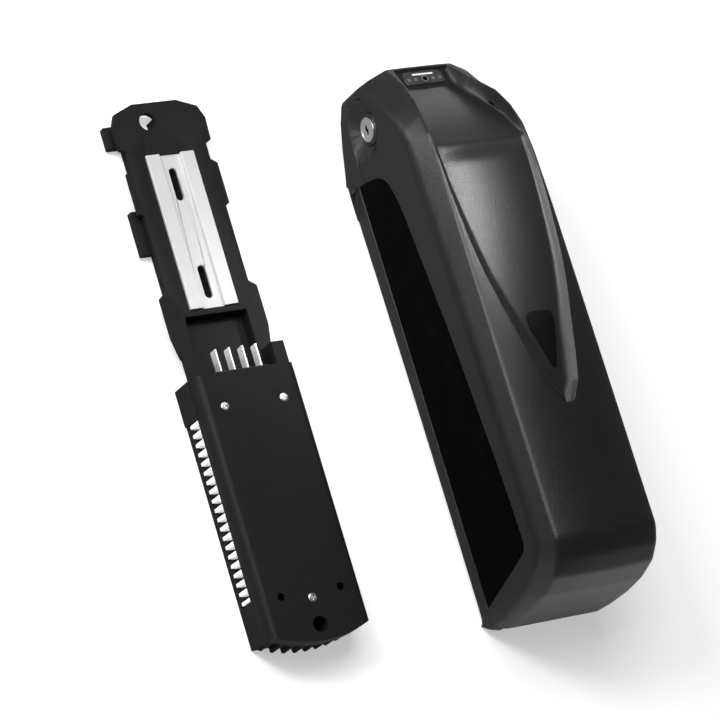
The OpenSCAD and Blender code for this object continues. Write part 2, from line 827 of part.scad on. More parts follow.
// Indicator at the foot of the nose: lens over a window, lights and switch on a board below
module indicator_lens() {
    color([0.04, 0.04, 0.045]) at_battery() at_shelf() difference() {
        linear_extrude(lens_t) offset(lens_corner_r) offset(-lens_corner_r)
            square([lens_w, lens_l], center = true);
        translate([0, 0, -over]) cylinder(r = button_r + slip, h = lens_t + 2 * over);
    }
}

module indicator_board() {
    color([0.05, 0.25, 0.14]) at_battery() at_shelf() {
        translate([-strip_board_w / 2, -strip_board_l / 2, strip_board_w0])
            cube([strip_board_w, strip_board_l, strip_board_t]);
        both_sides() translate([strip_post_x, 0, strip_board_w0 + strip_board_t])
            cylinder(r = strip_post_r, h = -front_skin - strip_board_w0 - strip_board_t);
    }
}

module indicator_leds() {
    color([0.85, 0.9, 0.85]) at_battery() at_shelf() both_sides() for (share = led_x_shares)
        translate([share * lens_w - led_w / 2, -led_w / 2, strip_board_w0 + strip_board_t])
            cube([led_w, led_w, led_h]);
}

module power_switch() {
    color([0.2, 0.2, 0.2]) at_battery() at_shelf()
        translate([-switch_w / 2, -switch_w / 2, strip_board_w0 + strip_board_t])
            cube([switch_w, switch_w, switch_h]);
}

module power_button() {
    color([0.6, 0.6, 0.62]) at_battery() at_shelf() translate([0, 0, -button_drop]) {
        cylinder(r = button_r, h = button_drop + lens_t + button_proud);
        cylinder(r = button_r + button_flange, h = button_drop - slip);
    }
}

// Faceted recess around the lock, with a flange behind the wall of the case
module lock_bezel() {
    rim_r = bezel_r * bezel_rim_share;
    rim = [for (p = bezel_shares) [lock_y + p[0] * rim_r, lock_z + p[1] * rim_r]];
    color([0.05, 0.05, 0.055]) at_battery() difference() {
        union() {
            bezel_plate(-case_half, bezel_t, 0);
            x_rod(-case_half + case_wall, lock_y, lock_z, bezel_flange_r, bezel_flange_t);
        }
        hull() {
            translate([-case_half - over / 2, 0, 0]) side_prism(rim, over);
            x_rod(-case_half + bezel_t - 2 * over, lock_y, lock_z, bezel_well_r, over / 2);
        }
        x_rod(-case_half, lock_y, lock_z, lock_r + body_wall, case_wall + bezel_t);
    }
}

module lock_body() {
    color([0.03, 0.03, 0.03]) at_battery() difference() {
        union() {
            x_rod(body_x, lock_y, lock_z, lock_r + body_wall, body_l);
            x_rod(-case_half + bezel_t, lock_y, lock_z, body_flange_r, bezel_flange_t);
        }
        x_rod(body_x - over, lock_y, lock_z, lock_r + run_gap, body_l + 2 * over);
    }
}

module lock_cylinder() {
    color([0.75, 0.75, 0.77]) at_battery() difference() {
        x_rod(lock_face_x, lock_y, lock_z, lock_r, lock_end_x - lock_face_x);
        block([lock_face_x - over, lock_y - key_l / 2, lock_z - key_w / 2],
            [lock_face_x + key_d, lock_y + key_l / 2, lock_z + key_w / 2]);
    }
}

// The cam's pin rides in the slot of the bolt's head and lifts it as the key is turned
module lock_cam() {
    color([0.6, 0.6, 0.62]) at_battery() {
        x_rod(lock_end_x, lock_y, lock_z, cam_r, cam_t);
        x_rod(lock_end_x + cam_t, lock_y + bolt_travel / 2, lock_z - bolt_travel / 2, cam_pin_r, cam_pin_l);
    }
}

module lock_bolt() {
    head_x = bolt_x - bolt_head_t / 2;
    slot_z = lock_z - bolt_travel / 2;
    slot_half = cam_pin_r + bolt_slot_gap;
    color([0.7, 0.7, 0.72]) at_battery() difference() {
        union() {
            translate([bolt_x, bolt_y, bolt_tip_z]) cylinder(r = bolt_r, h = head_z0 - bolt_tip_z + over);
            block([head_x, bolt_y - bolt_head_back, head_z0],
                [head_x + bolt_head_t, bolt_y + bolt_r + over / 2, head_z0 + bolt_head_h]);
        }
        block([head_x - over, lock_y + bolt_travel / 2 - slot_half, slot_z - slot_half],
            [head_x + bolt_head_t + over, lock_y + cam_arm + slot_half, slot_z + slot_half]);
    }
}

// Rubber cap over the charging port, hinged on its strap at the end nearest the toe
module port_cap() {
    color([0.04, 0.04, 0.04]) at_battery() {
        translate([-case_half + cap_t / 2, port_y, port_z]) rotate([90, 0, 90])
            linear_extrude(cap_t, center = true) offset(cap_edge_r) offset(-cap_edge_r)
                square([cap_l, cap_h], center = true);
        block([-case_half - cap_tab_t, port_y + cap_l / 2 - cap_tab_l, port_z - cap_tab_w / 2],
            [-case_half, port_y + cap_l / 2 - over, port_z + cap_tab_w / 2]);
    }
}

// Dock moulding: tray of the controller, plate with its wings, and the rail's pocket
module plate_plan() {
    polygon(mirrored([for (p = plate_shares) [p[0] * dock_half, p[1] * dock_l]]));
}

module dock_screw_at() {
    both_sides() translate([top_screw_x, top_screw_y, 0]) children();
    translate([0, low_screw_y, 0]) children();
}

function arc_y(x) = arc_r - sqrt(arc_r * arc_r - x * x);

module dock_base() {
    color([0.36, 0.36, 0.37]) at_dock() difference() {
        union() {
            translate([0, 0, plate_z - plate_t]) linear_extrude(plate_t) plate_plan();
            block([-core_half, housing_l - dock_wall, 0],
                [core_half, keeper_y + core_wall, plate_z - plate_t + over]);
            difference() {
                block([-dock_half, housing_y, 0], [dock_half, housing_l, skirt_z]);
                block([-dock_half + dock_wall, housing_y + dock_wall, dock_wall],
                    [dock_half - dock_wall, housing_l - dock_wall, skirt_z + over]);
                block([-dock_half - over, window_y0, window_z0], [dock_half + over, window_y1, window_z1]);
            }
            for (i = [0:rib_count - 1]) end_rib((i - (rib_count - 1) / 2) * rib_pitch);
            dock_screw_at() cylinder(r = boss_r, h = cover_z - dock_wall);
            translate([0, foot_y, 0]) cylinder(r = foot_boss_r, h = cover_z - dock_wall);
            both_sides() block([lug_x, housing_l + slip, plate_z - over],
                [lug_x + lug_w, housing_l + lug_l, cover_z]);
            block([-dock_half + over, side_hook_y, hook_z0],
                [-core_half, side_hook_y + side_hook_l, hook_z1]);
            block([-dock_half - flange_out, head_hook_y, hook_z0],
                [-core_half, head_hook_y + head_hook_l, hook_z1]);
            both_sides() block([dock_half - over, window_y1, 0],
                [dock_half + flange_out, housing_l, skirt_z]);
        }
        difference() {
            block([-rail_w / 2 - slip, rail_y - slip, rail_floor_z],
                [rail_w / 2 + slip, rail_y + rail_l + slip, plate_z + over]);
            block([-rail_web_w / 2, rail_y, rail_floor_z - over],
                [rail_web_w / 2, rail_y + rail_l, rail_web_z - rail_t]);
        }
        rail_slots(-over, rail_z);
        block([-trench_half, trench_y0, trench_z], [trench_half, trench_y1, plate_z + over]);
        translate([keeper_x, keeper_y, -over]) cylinder(r = keeper_r, h = plate_z + 2 * over);
        dock_screw_at() translate([0, 0, cover_z - dock_wall - screw_l])
            cylinder(r = screw_r + slip / 2, h = screw_l + over);
        translate([0, foot_y, -over]) cylinder(r = foot_bolt_r, h = cover_z);
        translate([0, foot_y, foot_well_z]) cylinder(r = foot_well_r, h = cover_z);
        terminal_room();
        x_rod(dock_half - dock_wall - over, grommet_y, grommet_z, grommet_r, dock_wall + 2 * over);
    }
}

module end_rib(x) {
    front = arc_y(x) + over + rib_t / 2;
    translate([x, front, rib_z0]) cylinder(r = rib_t / 2, h = skirt_z - rib_z0);
    block([x - rib_t / 2, front, rib_z0], [x + rib_t / 2, housing_y + over, skirt_z]);
}

module rail_slots(low, high) {
    reach = (slot_l - slot_w) / 2;
    for (i = [-1, 1]) translate([0, slot_mid_y + i * slot_pitch / 2, 0]) {
        for (j = [-1, 1]) translate([0, j * reach, low]) cylinder(r = slot_w / 2, h = high - low);
        block([-slot_w / 2, -reach, low], [slot_w / 2, reach, high]);
    }
}

module terminal_room() {
    block([-plug_w / 2, terminal_y, block_z0], [plug_w / 2, terminal_y + block_l, block_z1]);
}

// Bolted rail: a folded section whose middle is sunk, with two slots for the frame's bolts
module mounting_rail() {
    half = rail_w / 2;
    web_half = rail_web_w / 2;
    section = [
        [half, rail_floor_z], [half, rail_z], [web_half, rail_z], [web_half, rail_web_z],
        [0, rail_web_z], [0, rail_web_z - rail_t], [web_half + rail_t, rail_web_z - rail_t],
        [web_half + rail_t, rail_z - rail_t], [half - rail_t, rail_z - rail_t],
        [half - rail_t, rail_floor_z]];
    color([0.9, 0.9, 0.9]) at_dock() difference() {
        both_sides() translate([0, rail_y + rail_l, 0]) rotate([90, 0, 0]) linear_extrude(rail_l)
            polygon(section);
        rail_slots(rail_floor_z, rail_z);
    }
}

// Folded cover of the controller, its lower end an arc
module cover_plan(inset) {
    half = dock_half - inset;
    polygon([
        for (i = [-12:12]) [i / 12 * half, arc_y(i / 12 * dock_half) + inset],
        [half, housing_l - inset], [-half, housing_l - inset]]);
}

module cover_form(inset) {
    half = dock_half - inset;
    top = cover_z - inset;
    intersection() {
        translate([0, 0, skirt_z + gasket_t - (inset > 0 ? over : 0)]) linear_extrude(cover_z)
            cover_plan(inset);
        translate([0, housing_l, 0]) rotate([90, 0, 0]) linear_extrude(housing_l)
            offset(fold_r - inset) offset(inset - fold_r)
                polygon([[-half, 0], [half, 0], [half, top], [-half, top]]);
    }
}

module controller_cover() {
    color([0.38, 0.38, 0.39]) at_dock() difference() {
        cover_form(0);
        cover_form(dock_wall);
        dock_screw_at() translate([0, 0, cover_z - dock_wall - over]) {
            cylinder(r = screw_r + slip, h = dock_wall + 2 * over);
            translate([0, 0, over + dock_wall - screw_head_t])
                cylinder(r = screw_head_r + slip, h = screw_head_t + over);
        }
        translate([0, foot_y, cover_z - dock_wall - over])
            cylinder(r = foot_well_r, h = dock_wall + 2 * over);
        both_sides() translate([top_screw_x, plug_hole_y, cover_z - plug_hole_d])
            cylinder(r = plug_hole_r, h = plug_hole_d + over);
        terminal_room();
    }
}

module cover_gasket() {
    color([0.1, 0.1, 0.1]) at_dock() difference() {
        block([-dock_half + slip, housing_y + slip, skirt_z],
            [dock_half - slip, housing_l - slip, skirt_z + gasket_t]);
        block([-dock_half + gasket_w, housing_y + gasket_w, skirt_z - over],
            [dock_half - gasket_w, housing_l - gasket_w, skirt_z + 2 * gasket_t]);
        translate([0, foot_y, 0]) cylinder(r = foot_boss_r + slip, h = cover_z);
        terminal_room();
    }
}

module cover_screws() {
    color([0.75, 0.75, 0.75]) at_dock() dock_screw_at() {
        translate([0, 0, cover_z - dock_wall - screw_l + 2 * over])
            cylinder(r = screw_r, h = dock_wall + screw_l - 2 * over);
        translate([0, 0, cover_z - screw_head_t]) cylinder(r = screw_head_r, h = screw_head_t);
    }
}

// Heat sink across the tray, its fins showing in the side windows
module heat_sink() {
    inside = dock_half - dock_wall - slip;
    pitch = (sink_y1 - sink_y0 - fin_t) / (fin_count - 1);
    color([0.82, 0.82, 0.83]) at_dock() difference() {
        union() {
            block([-inside, sink_y0, sink_base_z], [inside, sink_y1, sink_base_z + sink_base_t]);
            for (i = [0:fin_count - 1]) {
                low = sink_y0 + i * pitch;
                block([-inside, low, dock_wall], [inside, low + fin_t, sink_base_z + over]);
                block([-dock_half + fin_end_gap, low, window_z0 + fin_foot_gap],
                    [dock_half - fin_end_gap, low + fin_t, window_z1 - 2 * fin_foot_gap]);
            }
        }
        dock_screw_at() cylinder(r = boss_r + slip, h = cover_z);
    }
}

module thermal_pad() {
    color([0.75, 0.78, 0.85]) at_dock()
        block([-board_half, board_y0, pad_z], [board_half, board_y1, pad_z + pad_t]);
}

module controller_board() {
    color([0.06, 0.3, 0.17]) at_dock()
        block([-board_half, board_y0, pad_z + pad_t], [board_half, board_y1, pad_z + pad_t + board_t]);
}

// Two rows of switching transistors bolted to the heat sink on both sides of the board
module power_transistors() {
    color([0.07, 0.07, 0.07]) at_dock() both_sides() for (i = [0:2])
        block([board_half + slip, board_y0 + board_edge + i * mos_pitch, pad_z],
            [board_half + mos_l, board_y0 + board_edge + i * mos_pitch + mos_w, pad_z + mos_t]);
}

module capacitors() {
    top = pad_z + pad_t + board_t;
    color([0.12, 0.14, 0.3]) at_dock() {
        for (i = [0:2])
            x_rod(-cap_len / 2, board_y0 + board_edge + cap_r + i * mos_pitch, top + cap_r, cap_r, cap_len);
        both_sides() x_rod(foot_boss_r + 2 * over, bulk_y, dock_wall + bulk_r, bulk_r, bulk_l);
    }
}

// Block in the upper wall of the tray, with the four blades that enter the battery's socket
module terminal_block() {
    color([0.08, 0.08, 0.08]) at_dock() difference() {
        terminal_room();
        blade_solid();
    }
}

module blade_solid() {
    front = terminal_y + block_l + blade_out;
    for (i = [0:blade_count - 1])
        translate([(i - (blade_count - 1) / 2) * blade_pitch, 0, blade_mid_z + dock_lift])
            block([-blade_t / 2, front - blade_l, -blade_h / 2], [blade_t / 2, front, blade_h / 2]);
}

module blade_terminals() {
    color([0.85, 0.85, 0.84]) at_dock() blade_solid();
}

module terminal_leads() {
    top = pad_z + pad_t + board_t;
    z = blade_mid_z + dock_lift;
    color([0.7, 0.1, 0.08]) at_dock() for (i = [0:blade_count - 1]) {
        x = (i - (blade_count - 1) / 2) * blade_pitch;
        lead([[x, terminal_y, z], [x, board_y1 - board_edge, z], [x, board_y1 - board_edge, top]], lead_r);
    }
}

// Grommet in the side wall for the motor's cable
module cable_grommet() {
    wall_x = dock_half - dock_wall;
    t = grommet_flange_t;
    color([0.05, 0.05, 0.05]) at_dock() difference() {
        union() {
            x_rod(wall_x - t, grommet_y, grommet_z, grommet_r, dock_wall + 2 * t);
            x_rod(wall_x - t, grommet_y, grommet_z, grommet_r + grommet_flange, t);
            x_rod(dock_half, grommet_y, grommet_z, grommet_r + grommet_flange, t);
        }
        x_rod(wall_x - 2 * t, grommet_y, grommet_z, grommet_bore_r, dock_wall + 4 * t);
    }
}

dock_base();
mounting_rail();
controller_cover();
cover_gasket();
cover_screws();
heat_sink();
thermal_pad();
controller_board();
power_transistors();
capacitors();
terminal_block();
blade_terminals();
terminal_leads();
cable_grommet();
rear_shell();
front_shell();
left_side_panel();
right_side_panel();
badge_plate();
shell_screws();
cell_holder_left();
cell_holder_right();
cells();
nickel_strips_left();
nickel_strips_right();
foam_pads();
bms_board();
bms_transistors();
fuse_holder();
fuse();
discharge_socket();
discharge_contacts();
discharge_strips();
charge_socket();
charge_leads();
indicator_lens();
indicator_board();
indicator_leds();
power_switch();
power_button();
lock_bezel();
lock_body();
lock_cylinder();
lock_cam();
lock_bolt();
port_cap();
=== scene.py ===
"""Looks of an electric bicycle's downtube battery and of the dock that lies beside it.

The part's own meshes get their finishes. The pieces that show most are drawn again with their
rounds, and their nodes are hidden. Lengths are in millimetres in an assembly's own frame until
place() sets them into the shared one.
"""

import math

import bmesh
import bpy
import numpy as np
from mathutils import Matrix, Vector


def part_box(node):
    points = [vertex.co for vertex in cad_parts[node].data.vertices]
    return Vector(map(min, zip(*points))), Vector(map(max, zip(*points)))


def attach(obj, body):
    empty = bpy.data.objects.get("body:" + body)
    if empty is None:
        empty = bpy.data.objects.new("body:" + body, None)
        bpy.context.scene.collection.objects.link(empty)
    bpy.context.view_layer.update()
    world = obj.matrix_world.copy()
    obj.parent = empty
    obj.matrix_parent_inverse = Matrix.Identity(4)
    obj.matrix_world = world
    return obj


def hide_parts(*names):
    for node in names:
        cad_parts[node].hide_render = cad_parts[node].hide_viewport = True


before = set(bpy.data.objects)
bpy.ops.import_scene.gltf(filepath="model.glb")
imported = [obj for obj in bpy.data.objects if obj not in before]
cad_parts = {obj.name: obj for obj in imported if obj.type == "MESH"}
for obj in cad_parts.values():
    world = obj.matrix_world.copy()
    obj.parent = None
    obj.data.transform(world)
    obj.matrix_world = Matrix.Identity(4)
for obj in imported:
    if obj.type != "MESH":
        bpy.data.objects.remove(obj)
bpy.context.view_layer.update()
scene = bpy.context.scene

MM = 0.001
# An edge that turns by more degrees than this is shaded sharp, and may be rounded
SHARP = 32
# Points of a part's mesh that lie closer than this, in metres, are one point
MERGE_DISTANCE = 2e-6


def assembly_origin(node):
    """Where an assembly's own frame starts: a node's middle across, its lower end and height 0."""
    low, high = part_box(node)
    return np.array([(low.x + high.x) * 500, low.y * 1000, 0.0])


BATTERY, DOCK = assembly_origin("rear_shell"), assembly_origin("controller_cover")


# Meshes

def place(points, origin):
    """Points of an assembly in millimetres become points of the shared frame in metres."""
    return (np.asarray(points, float) + origin) * MM


def mesh_piece(name, points, faces):
    """A mesh object from an array of points in metres and faces given as arrays of equal-length rows."""
    mesh = bpy.data.meshes.new(name)
    polygons = [row for block in faces for row in np.asarray(block).tolist()]
    mesh.from_pydata(np.asarray(points, float).tolist(), [], polygons)
    mesh.update()
    piece = bpy.data.objects.new(name, mesh)
    scene.collection.objects.link(piece)
    return piece


def grid_faces(rows, columns, wrap):
    """Quads between the neighbours of a grid, its columns closed into rings when wrap is true."""
    index = np.arange(rows * columns).reshape(rows, columns)
    if wrap:
        index = np.concatenate([index, index[:, :1]], axis=1)
    return np.stack([index[:-1, :-1], index[:-1, 1:], index[1:, 1:], index[1:, :-1]], axis=-1).reshape(-1, 4)


def tube_piece(name, rings, origin):
    """A closed skin over rings of points, with a flat cap over the first ring and over the last."""
    rings = np.asarray(rings, float)
    count, around = rings.shape[:2]
    faces = [grid_faces(count, around, True),
             np.arange(around)[None, ::-1], (np.arange(around) + (count - 1) * around)[None, :]]
    piece = mesh_piece(name, place(rings.reshape(-1, 3), origin), faces)
    return face_outwards(piece)


def face_outwards(piece):
    """Turns every face of a closed mesh away from its inside."""
    work = bmesh.new()
    work.from_mesh(piece.data)
    bmesh.ops.recalc_face_normals(work, faces=work.faces)
    if work.calc_volume(signed=True) < 0:
        bmesh.ops.reverse_faces(work, faces=work.faces)
    work.to_mesh(piece.data)
    work.free()
    return piece


def mark_smooth(work, sharp_degrees=SHARP):
    """Smooth faces in a mesh being edited, with the edges that turn more than an angle left sharp."""
    limit = math.radians(sharp_degrees)
    for face in work.faces:
        face.smooth = True
    for edge in work.edges:
        edge.smooth = len(edge.link_faces) == 2 and edge.calc_face_angle(0) < limit


def prism(name, outline, low, high, origin, grow_low=0.0, grow_high=0.0):
    """A solid along X over a Y-Z outline, each end grown by a length of its own.

    An end is the outline scaled about its middle by 1 plus the growth over half the outline's size.
    """
    outline = np.asarray(outline, float)
    middle = (outline.min(0) + outline.max(0)) / 2
    half = (outline.max(0) - outline.min(0)) / 2
    rings = []
    for x, grow in ((low, grow_low), (high, grow_high)):
        yz = middle + (outline - middle) * (1 + grow / half)
        rings.append(np.column_stack([np.full(len(yz), x), yz]))
    return tube_piece(name, rings, origin)


def box_solid(name, low, high, origin):
    """A box between two corners."""
    (x0, y0, z0), (x1, y1, z1) = low, high
    ring = [[y0, z0], [y1, z0], [y1, z1], [y0, z1]]
    return prism(name, ring, x0, x1, origin)


def turned(name, axis, centre, profile, origin, around=96):
    """A profile of [distance along the axis, radius] turned about the x or z axis, closed at both ends.

    A point lies its radius times the cosine and times the sine of its angle from the axis.
    """
    profile = np.asarray(profile, float)
    angle = np.linspace(0, 2 * math.pi, around, endpoint=False)
    along, radius = profile[:, :1], profile[:, 1:]
    a = radius * np.cos(angle)[None, :]
    b = radius * np.sin(angle)[None, :]
    c = np.repeat(along, around, axis=1)
    order = {"x": (c, a, b), "z": (a, b, c)}[axis]
    rings = np.stack(order, axis=-1) + np.asarray(centre, float)
    return tube_piece(name, rings, origin)


def carve(piece, cutters, operation="DIFFERENCE"):
    """The piece after each cutter is taken from it, added to it or kept in common with it."""
    for cutter in cutters:
        step = piece.modifiers.new("carve", "BOOLEAN")
        step.object = cutter
        step.operation = operation
        step.solver = "MANIFOLD"
    bpy.context.view_layer.update()
    graph = bpy.context.evaluated_depsgraph_get()
    mesh = bpy.data.meshes.new_from_object(piece.evaluated_get(graph))
    mesh.name = piece.name
    piece.modifiers.clear()
    piece.data = mesh
    for cutter in cutters:
        bpy.data.objects.remove(cutter)
    return piece


def twin(piece, name):
    """A second object with its own copy of a piece's mesh."""
    other = piece.copy()
    other.data = piece.data.copy()
    other.name = name
    scene.collection.objects.link(other)
    return other


def mirror_x(piece, origin):
    """Turns a piece over the assembly's middle plane."""
    mesh = piece.data
    points = np.empty(len(mesh.vertices) * 3)
    mesh.vertices.foreach_get("co", points)
    points = points.reshape(-1, 3)
    points[:, 0] = 2 * origin[0] * MM - points[:, 0]
    mesh.vertices.foreach_set("co", points.ravel())
    mesh.flip_normals()
    mesh.update()
    return piece


def softened(node, width):
    """A merged copy of a part's mesh whose sharp edges carry a round of a width in millimetres."""
    piece = twin(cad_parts[node], node + "_finish")
    for key in list(piece.keys()):
        del piece[key]
    piece.parent = None
    work = bmesh.new()
    work.from_mesh(piece.data)
    bmesh.ops.remove_doubles(work, verts=work.verts, dist=MERGE_DISTANCE)
    mark_smooth(work)
    work.to_mesh(piece.data)
    work.free()
    round_edges = piece.modifiers.new("round", "BEVEL")
    round_edges.width = width * MM
    round_edges.segments = 2
    round_edges.limit_method = "ANGLE"
    round_edges.angle_limit = math.radians(SHARP)
    round_edges.harden_normals = True
    round_edges.miter_outer = "MITER_ARC"
    return piece


# Finishes

def group(name, inputs, outputs):
    """An empty shader group, and its two end nodes.

    Its inputs are floats, given as {name: value}, and its outputs are given as {name: kind}.
    """
    tree = bpy.data.node_groups.new(name, "ShaderNodeTree")
    for label, value in inputs.items():
        socket = tree.interface.new_socket(label, in_out="INPUT", socket_type="NodeSocketFloat")
        socket.default_value = value
    for label, kind in outputs.items():
        tree.interface.new_socket(label, in_out="OUTPUT", socket_type=kind)
    return tree, tree.nodes.new("NodeGroupInput"), tree.nodes.new("NodeGroupOutput")


def math_node(tree, operation, first, second):
    """A Math node, each operand a socket or a number."""
    node = tree.nodes.new("ShaderNodeMath")
    node.operation = operation
    for slot, value in ((0, first), (1, second)):
        if isinstance(value, (int, float)):
            node.inputs[slot].default_value = value
        else:
            tree.links.new(value, node.inputs[slot])
    return node.outputs[0]


def noise(tree, vector, scale, detail, rough=0.5):
    """A noise texture's factor, its scale a socket or a number of cells per metre."""
    node = tree.nodes.new("ShaderNodeTexNoise")
    tree.links.new(vector, node.inputs["Vector"])
    node.inputs["Detail"].default_value = detail
    node.inputs["Roughness"].default_value = rough
    if isinstance(scale, (int, float)):
        node.inputs["Scale"].default_value = scale
    else:
        tree.links.new(scale, node.inputs["Scale"])
    return node.outputs["Fac"]


def spread(tree, value, low, high, to_low, to_high):
    """A value mapped from one span to another and held at its ends."""
    node = tree.nodes.new("ShaderNodeMapRange")
    tree.links.new(value, node.inputs["Value"])
    for label, number in (("From Min", low), ("From Max", high), ("To Min", to_low), ("To Max", to_high)):
        node.inputs[label].default_value = number
    return node.outputs["Result"]


def grain_group():
    """Moulded or sprayed grain: pits of a given size in millimetres, and slow patches all over."""
    tree, put, out = group("surface_grain", {"Grain size": 0.4}, {
        "Height": "NodeSocketFloat", "Patch": "NodeSocketFloat"})
    where = tree.nodes.new("ShaderNodeTexCoord").outputs["Object"]
    cells_per_metre = math_node(tree, "DIVIDE", 1000.0, put.outputs["Grain size"])
    fine = noise(tree, where, cells_per_metre, 2.0, 0.6)
    pits = tree.nodes.new("ShaderNodeTexVoronoi")
    tree.links.new(where, pits.inputs["Vector"])
    tree.links.new(cells_per_metre, pits.inputs["Scale"])
    height = math_node(tree, "ADD", fine, math_node(tree, "MULTIPLY", pits.outputs["Distance"], 0.5))
    tree.links.new(height, out.inputs["Height"])
    tree.links.new(spread(tree, noise(tree, where, 14.0, 4.0), 0.35, 0.65, 0.0, 1.0), out.inputs["Patch"])
    return tree


def dust_group():
    """Fine dust that lies in patches, at most as dense as the amount says."""
    tree, put, out = group("fine_dust", {"Dust": 0.3}, {"Dusting": "NodeSocketFloat"})
    where = tree.nodes.new("ShaderNodeTexCoord").outputs["Object"]
    dust = spread(tree, noise(tree, where, 55.0, 7.0, 0.72), 0.5, 0.75, 0.0, 1.0)
    tree.links.new(math_node(tree, "MULTIPLY", dust, put.outputs["Dust"]), out.inputs["Dusting"])
    return tree


GRAIN, DUST = grain_group(), dust_group()
# How much the slow patches change the colour, as a share of it, and the roughness
PATCH_TONE = 0.06
PATCH_ROUGHNESS = 0.03
# How much of the colour the densest dust covers, what share of pale it adds there, and its roughness
DUST_COVER = 0.3
DUST_TINT = 0.25
DUST_ROUGHNESS = 0.12
COAT_ROUGHNESS = 0.1


def finish(name, colour, rough, grain=0.4, height=0.02, pale=0.35, dust=0.04,
           metal=0.0, specular=0.3, coat=0.0, streak=None, painted_glow=0.0):
    """A surface of one colour with its grain, slow patches and dust.

    grain is the size of the grain's cells and height the depth of its relief, in millimetres.
    pale is the lighter tone that dust adds. streak=(x, y, z) gives the cells per metre of brushed
    or drawn metal, few along the stroke. The last argument, the surface's own light, is painted light: a glow
    of its own colour though it is no lamp, to lighten it.
    """
    material = bpy.data.materials.new(name)
    material.use_nodes = True
    tree = material.node_tree
    shader = tree.nodes["Principled BSDF"]
    link = tree.links.new
    skin = tree.nodes.new("ShaderNodeGroup")
    skin.node_tree = GRAIN
    skin.inputs["Grain size"].default_value = grain
    film = tree.nodes.new("ShaderNodeGroup")
    film.node_tree = DUST
    film.inputs["Dust"].default_value = dust
    colour = np.array(colour, float)
    patch = tree.nodes.new("ShaderNodeMix")
    patch.data_type = "RGBA"
    patch.inputs["A"].default_value = (*(colour * (1 - PATCH_TONE)), 1)
    patch.inputs["B"].default_value = (*np.minimum(colour * (1 + PATCH_TONE), 1), 1)
    link(skin.outputs["Patch"], patch.inputs["Factor"])
    dusty = tree.nodes.new("ShaderNodeMix")
    dusty.data_type = "RGBA"
    dusty.inputs["B"].default_value = (*np.minimum(colour + pale * DUST_TINT, 1), 1)
    link(patch.outputs["Result"], dusty.inputs["A"])
    link(math_node(tree, "MULTIPLY", film.outputs["Dusting"], DUST_COVER), dusty.inputs["Factor"])
    link(dusty.outputs["Result"], shader.inputs["Base Color"])
    swing = math_node(tree, "ADD", rough - PATCH_ROUGHNESS / 2,
                      math_node(tree, "MULTIPLY", skin.outputs["Patch"], PATCH_ROUGHNESS))
    link(math_node(tree, "ADD", swing, math_node(tree, "MULTIPLY", film.outputs["Dusting"], DUST_ROUGHNESS)),
         shader.inputs["Roughness"])
    relief = skin.outputs["Height"]
    if streak:
        where = tree.nodes.new("ShaderNodeTexCoord").outputs["Object"]
        stretch = tree.nodes.new("ShaderNodeMapping")
        stretch.inputs["Scale"].default_value = streak
        link(where, stretch.inputs["Vector"])
        relief = noise(tree, stretch.outputs["Vector"], 1.0, 4.0, 0.65)
    bump = tree.nodes.new("ShaderNodeBump")
    bump.inputs["Distance"].default_value = height * MM
    link(relief, bump.inputs["Height"])
    link(bump.outputs["Normal"], shader.inputs["Normal"])
    shader.inputs["Metallic"].default_value = metal
    shader.inputs["Specular IOR Level"].default_value = specular
    shader.inputs["Coat Weight"].default_value = coat
    shader.inputs["Coat Roughness"].default_value = COAT_ROUGHNESS
    # Painted light: the surface gives off light of its own colour though it is no lamp
    if painted_glow:
        shader.inputs["Emission Color"].default_value = (*colour, 1)
        shader.inputs["Emission Strength"].default_value = painted_glow
    return material


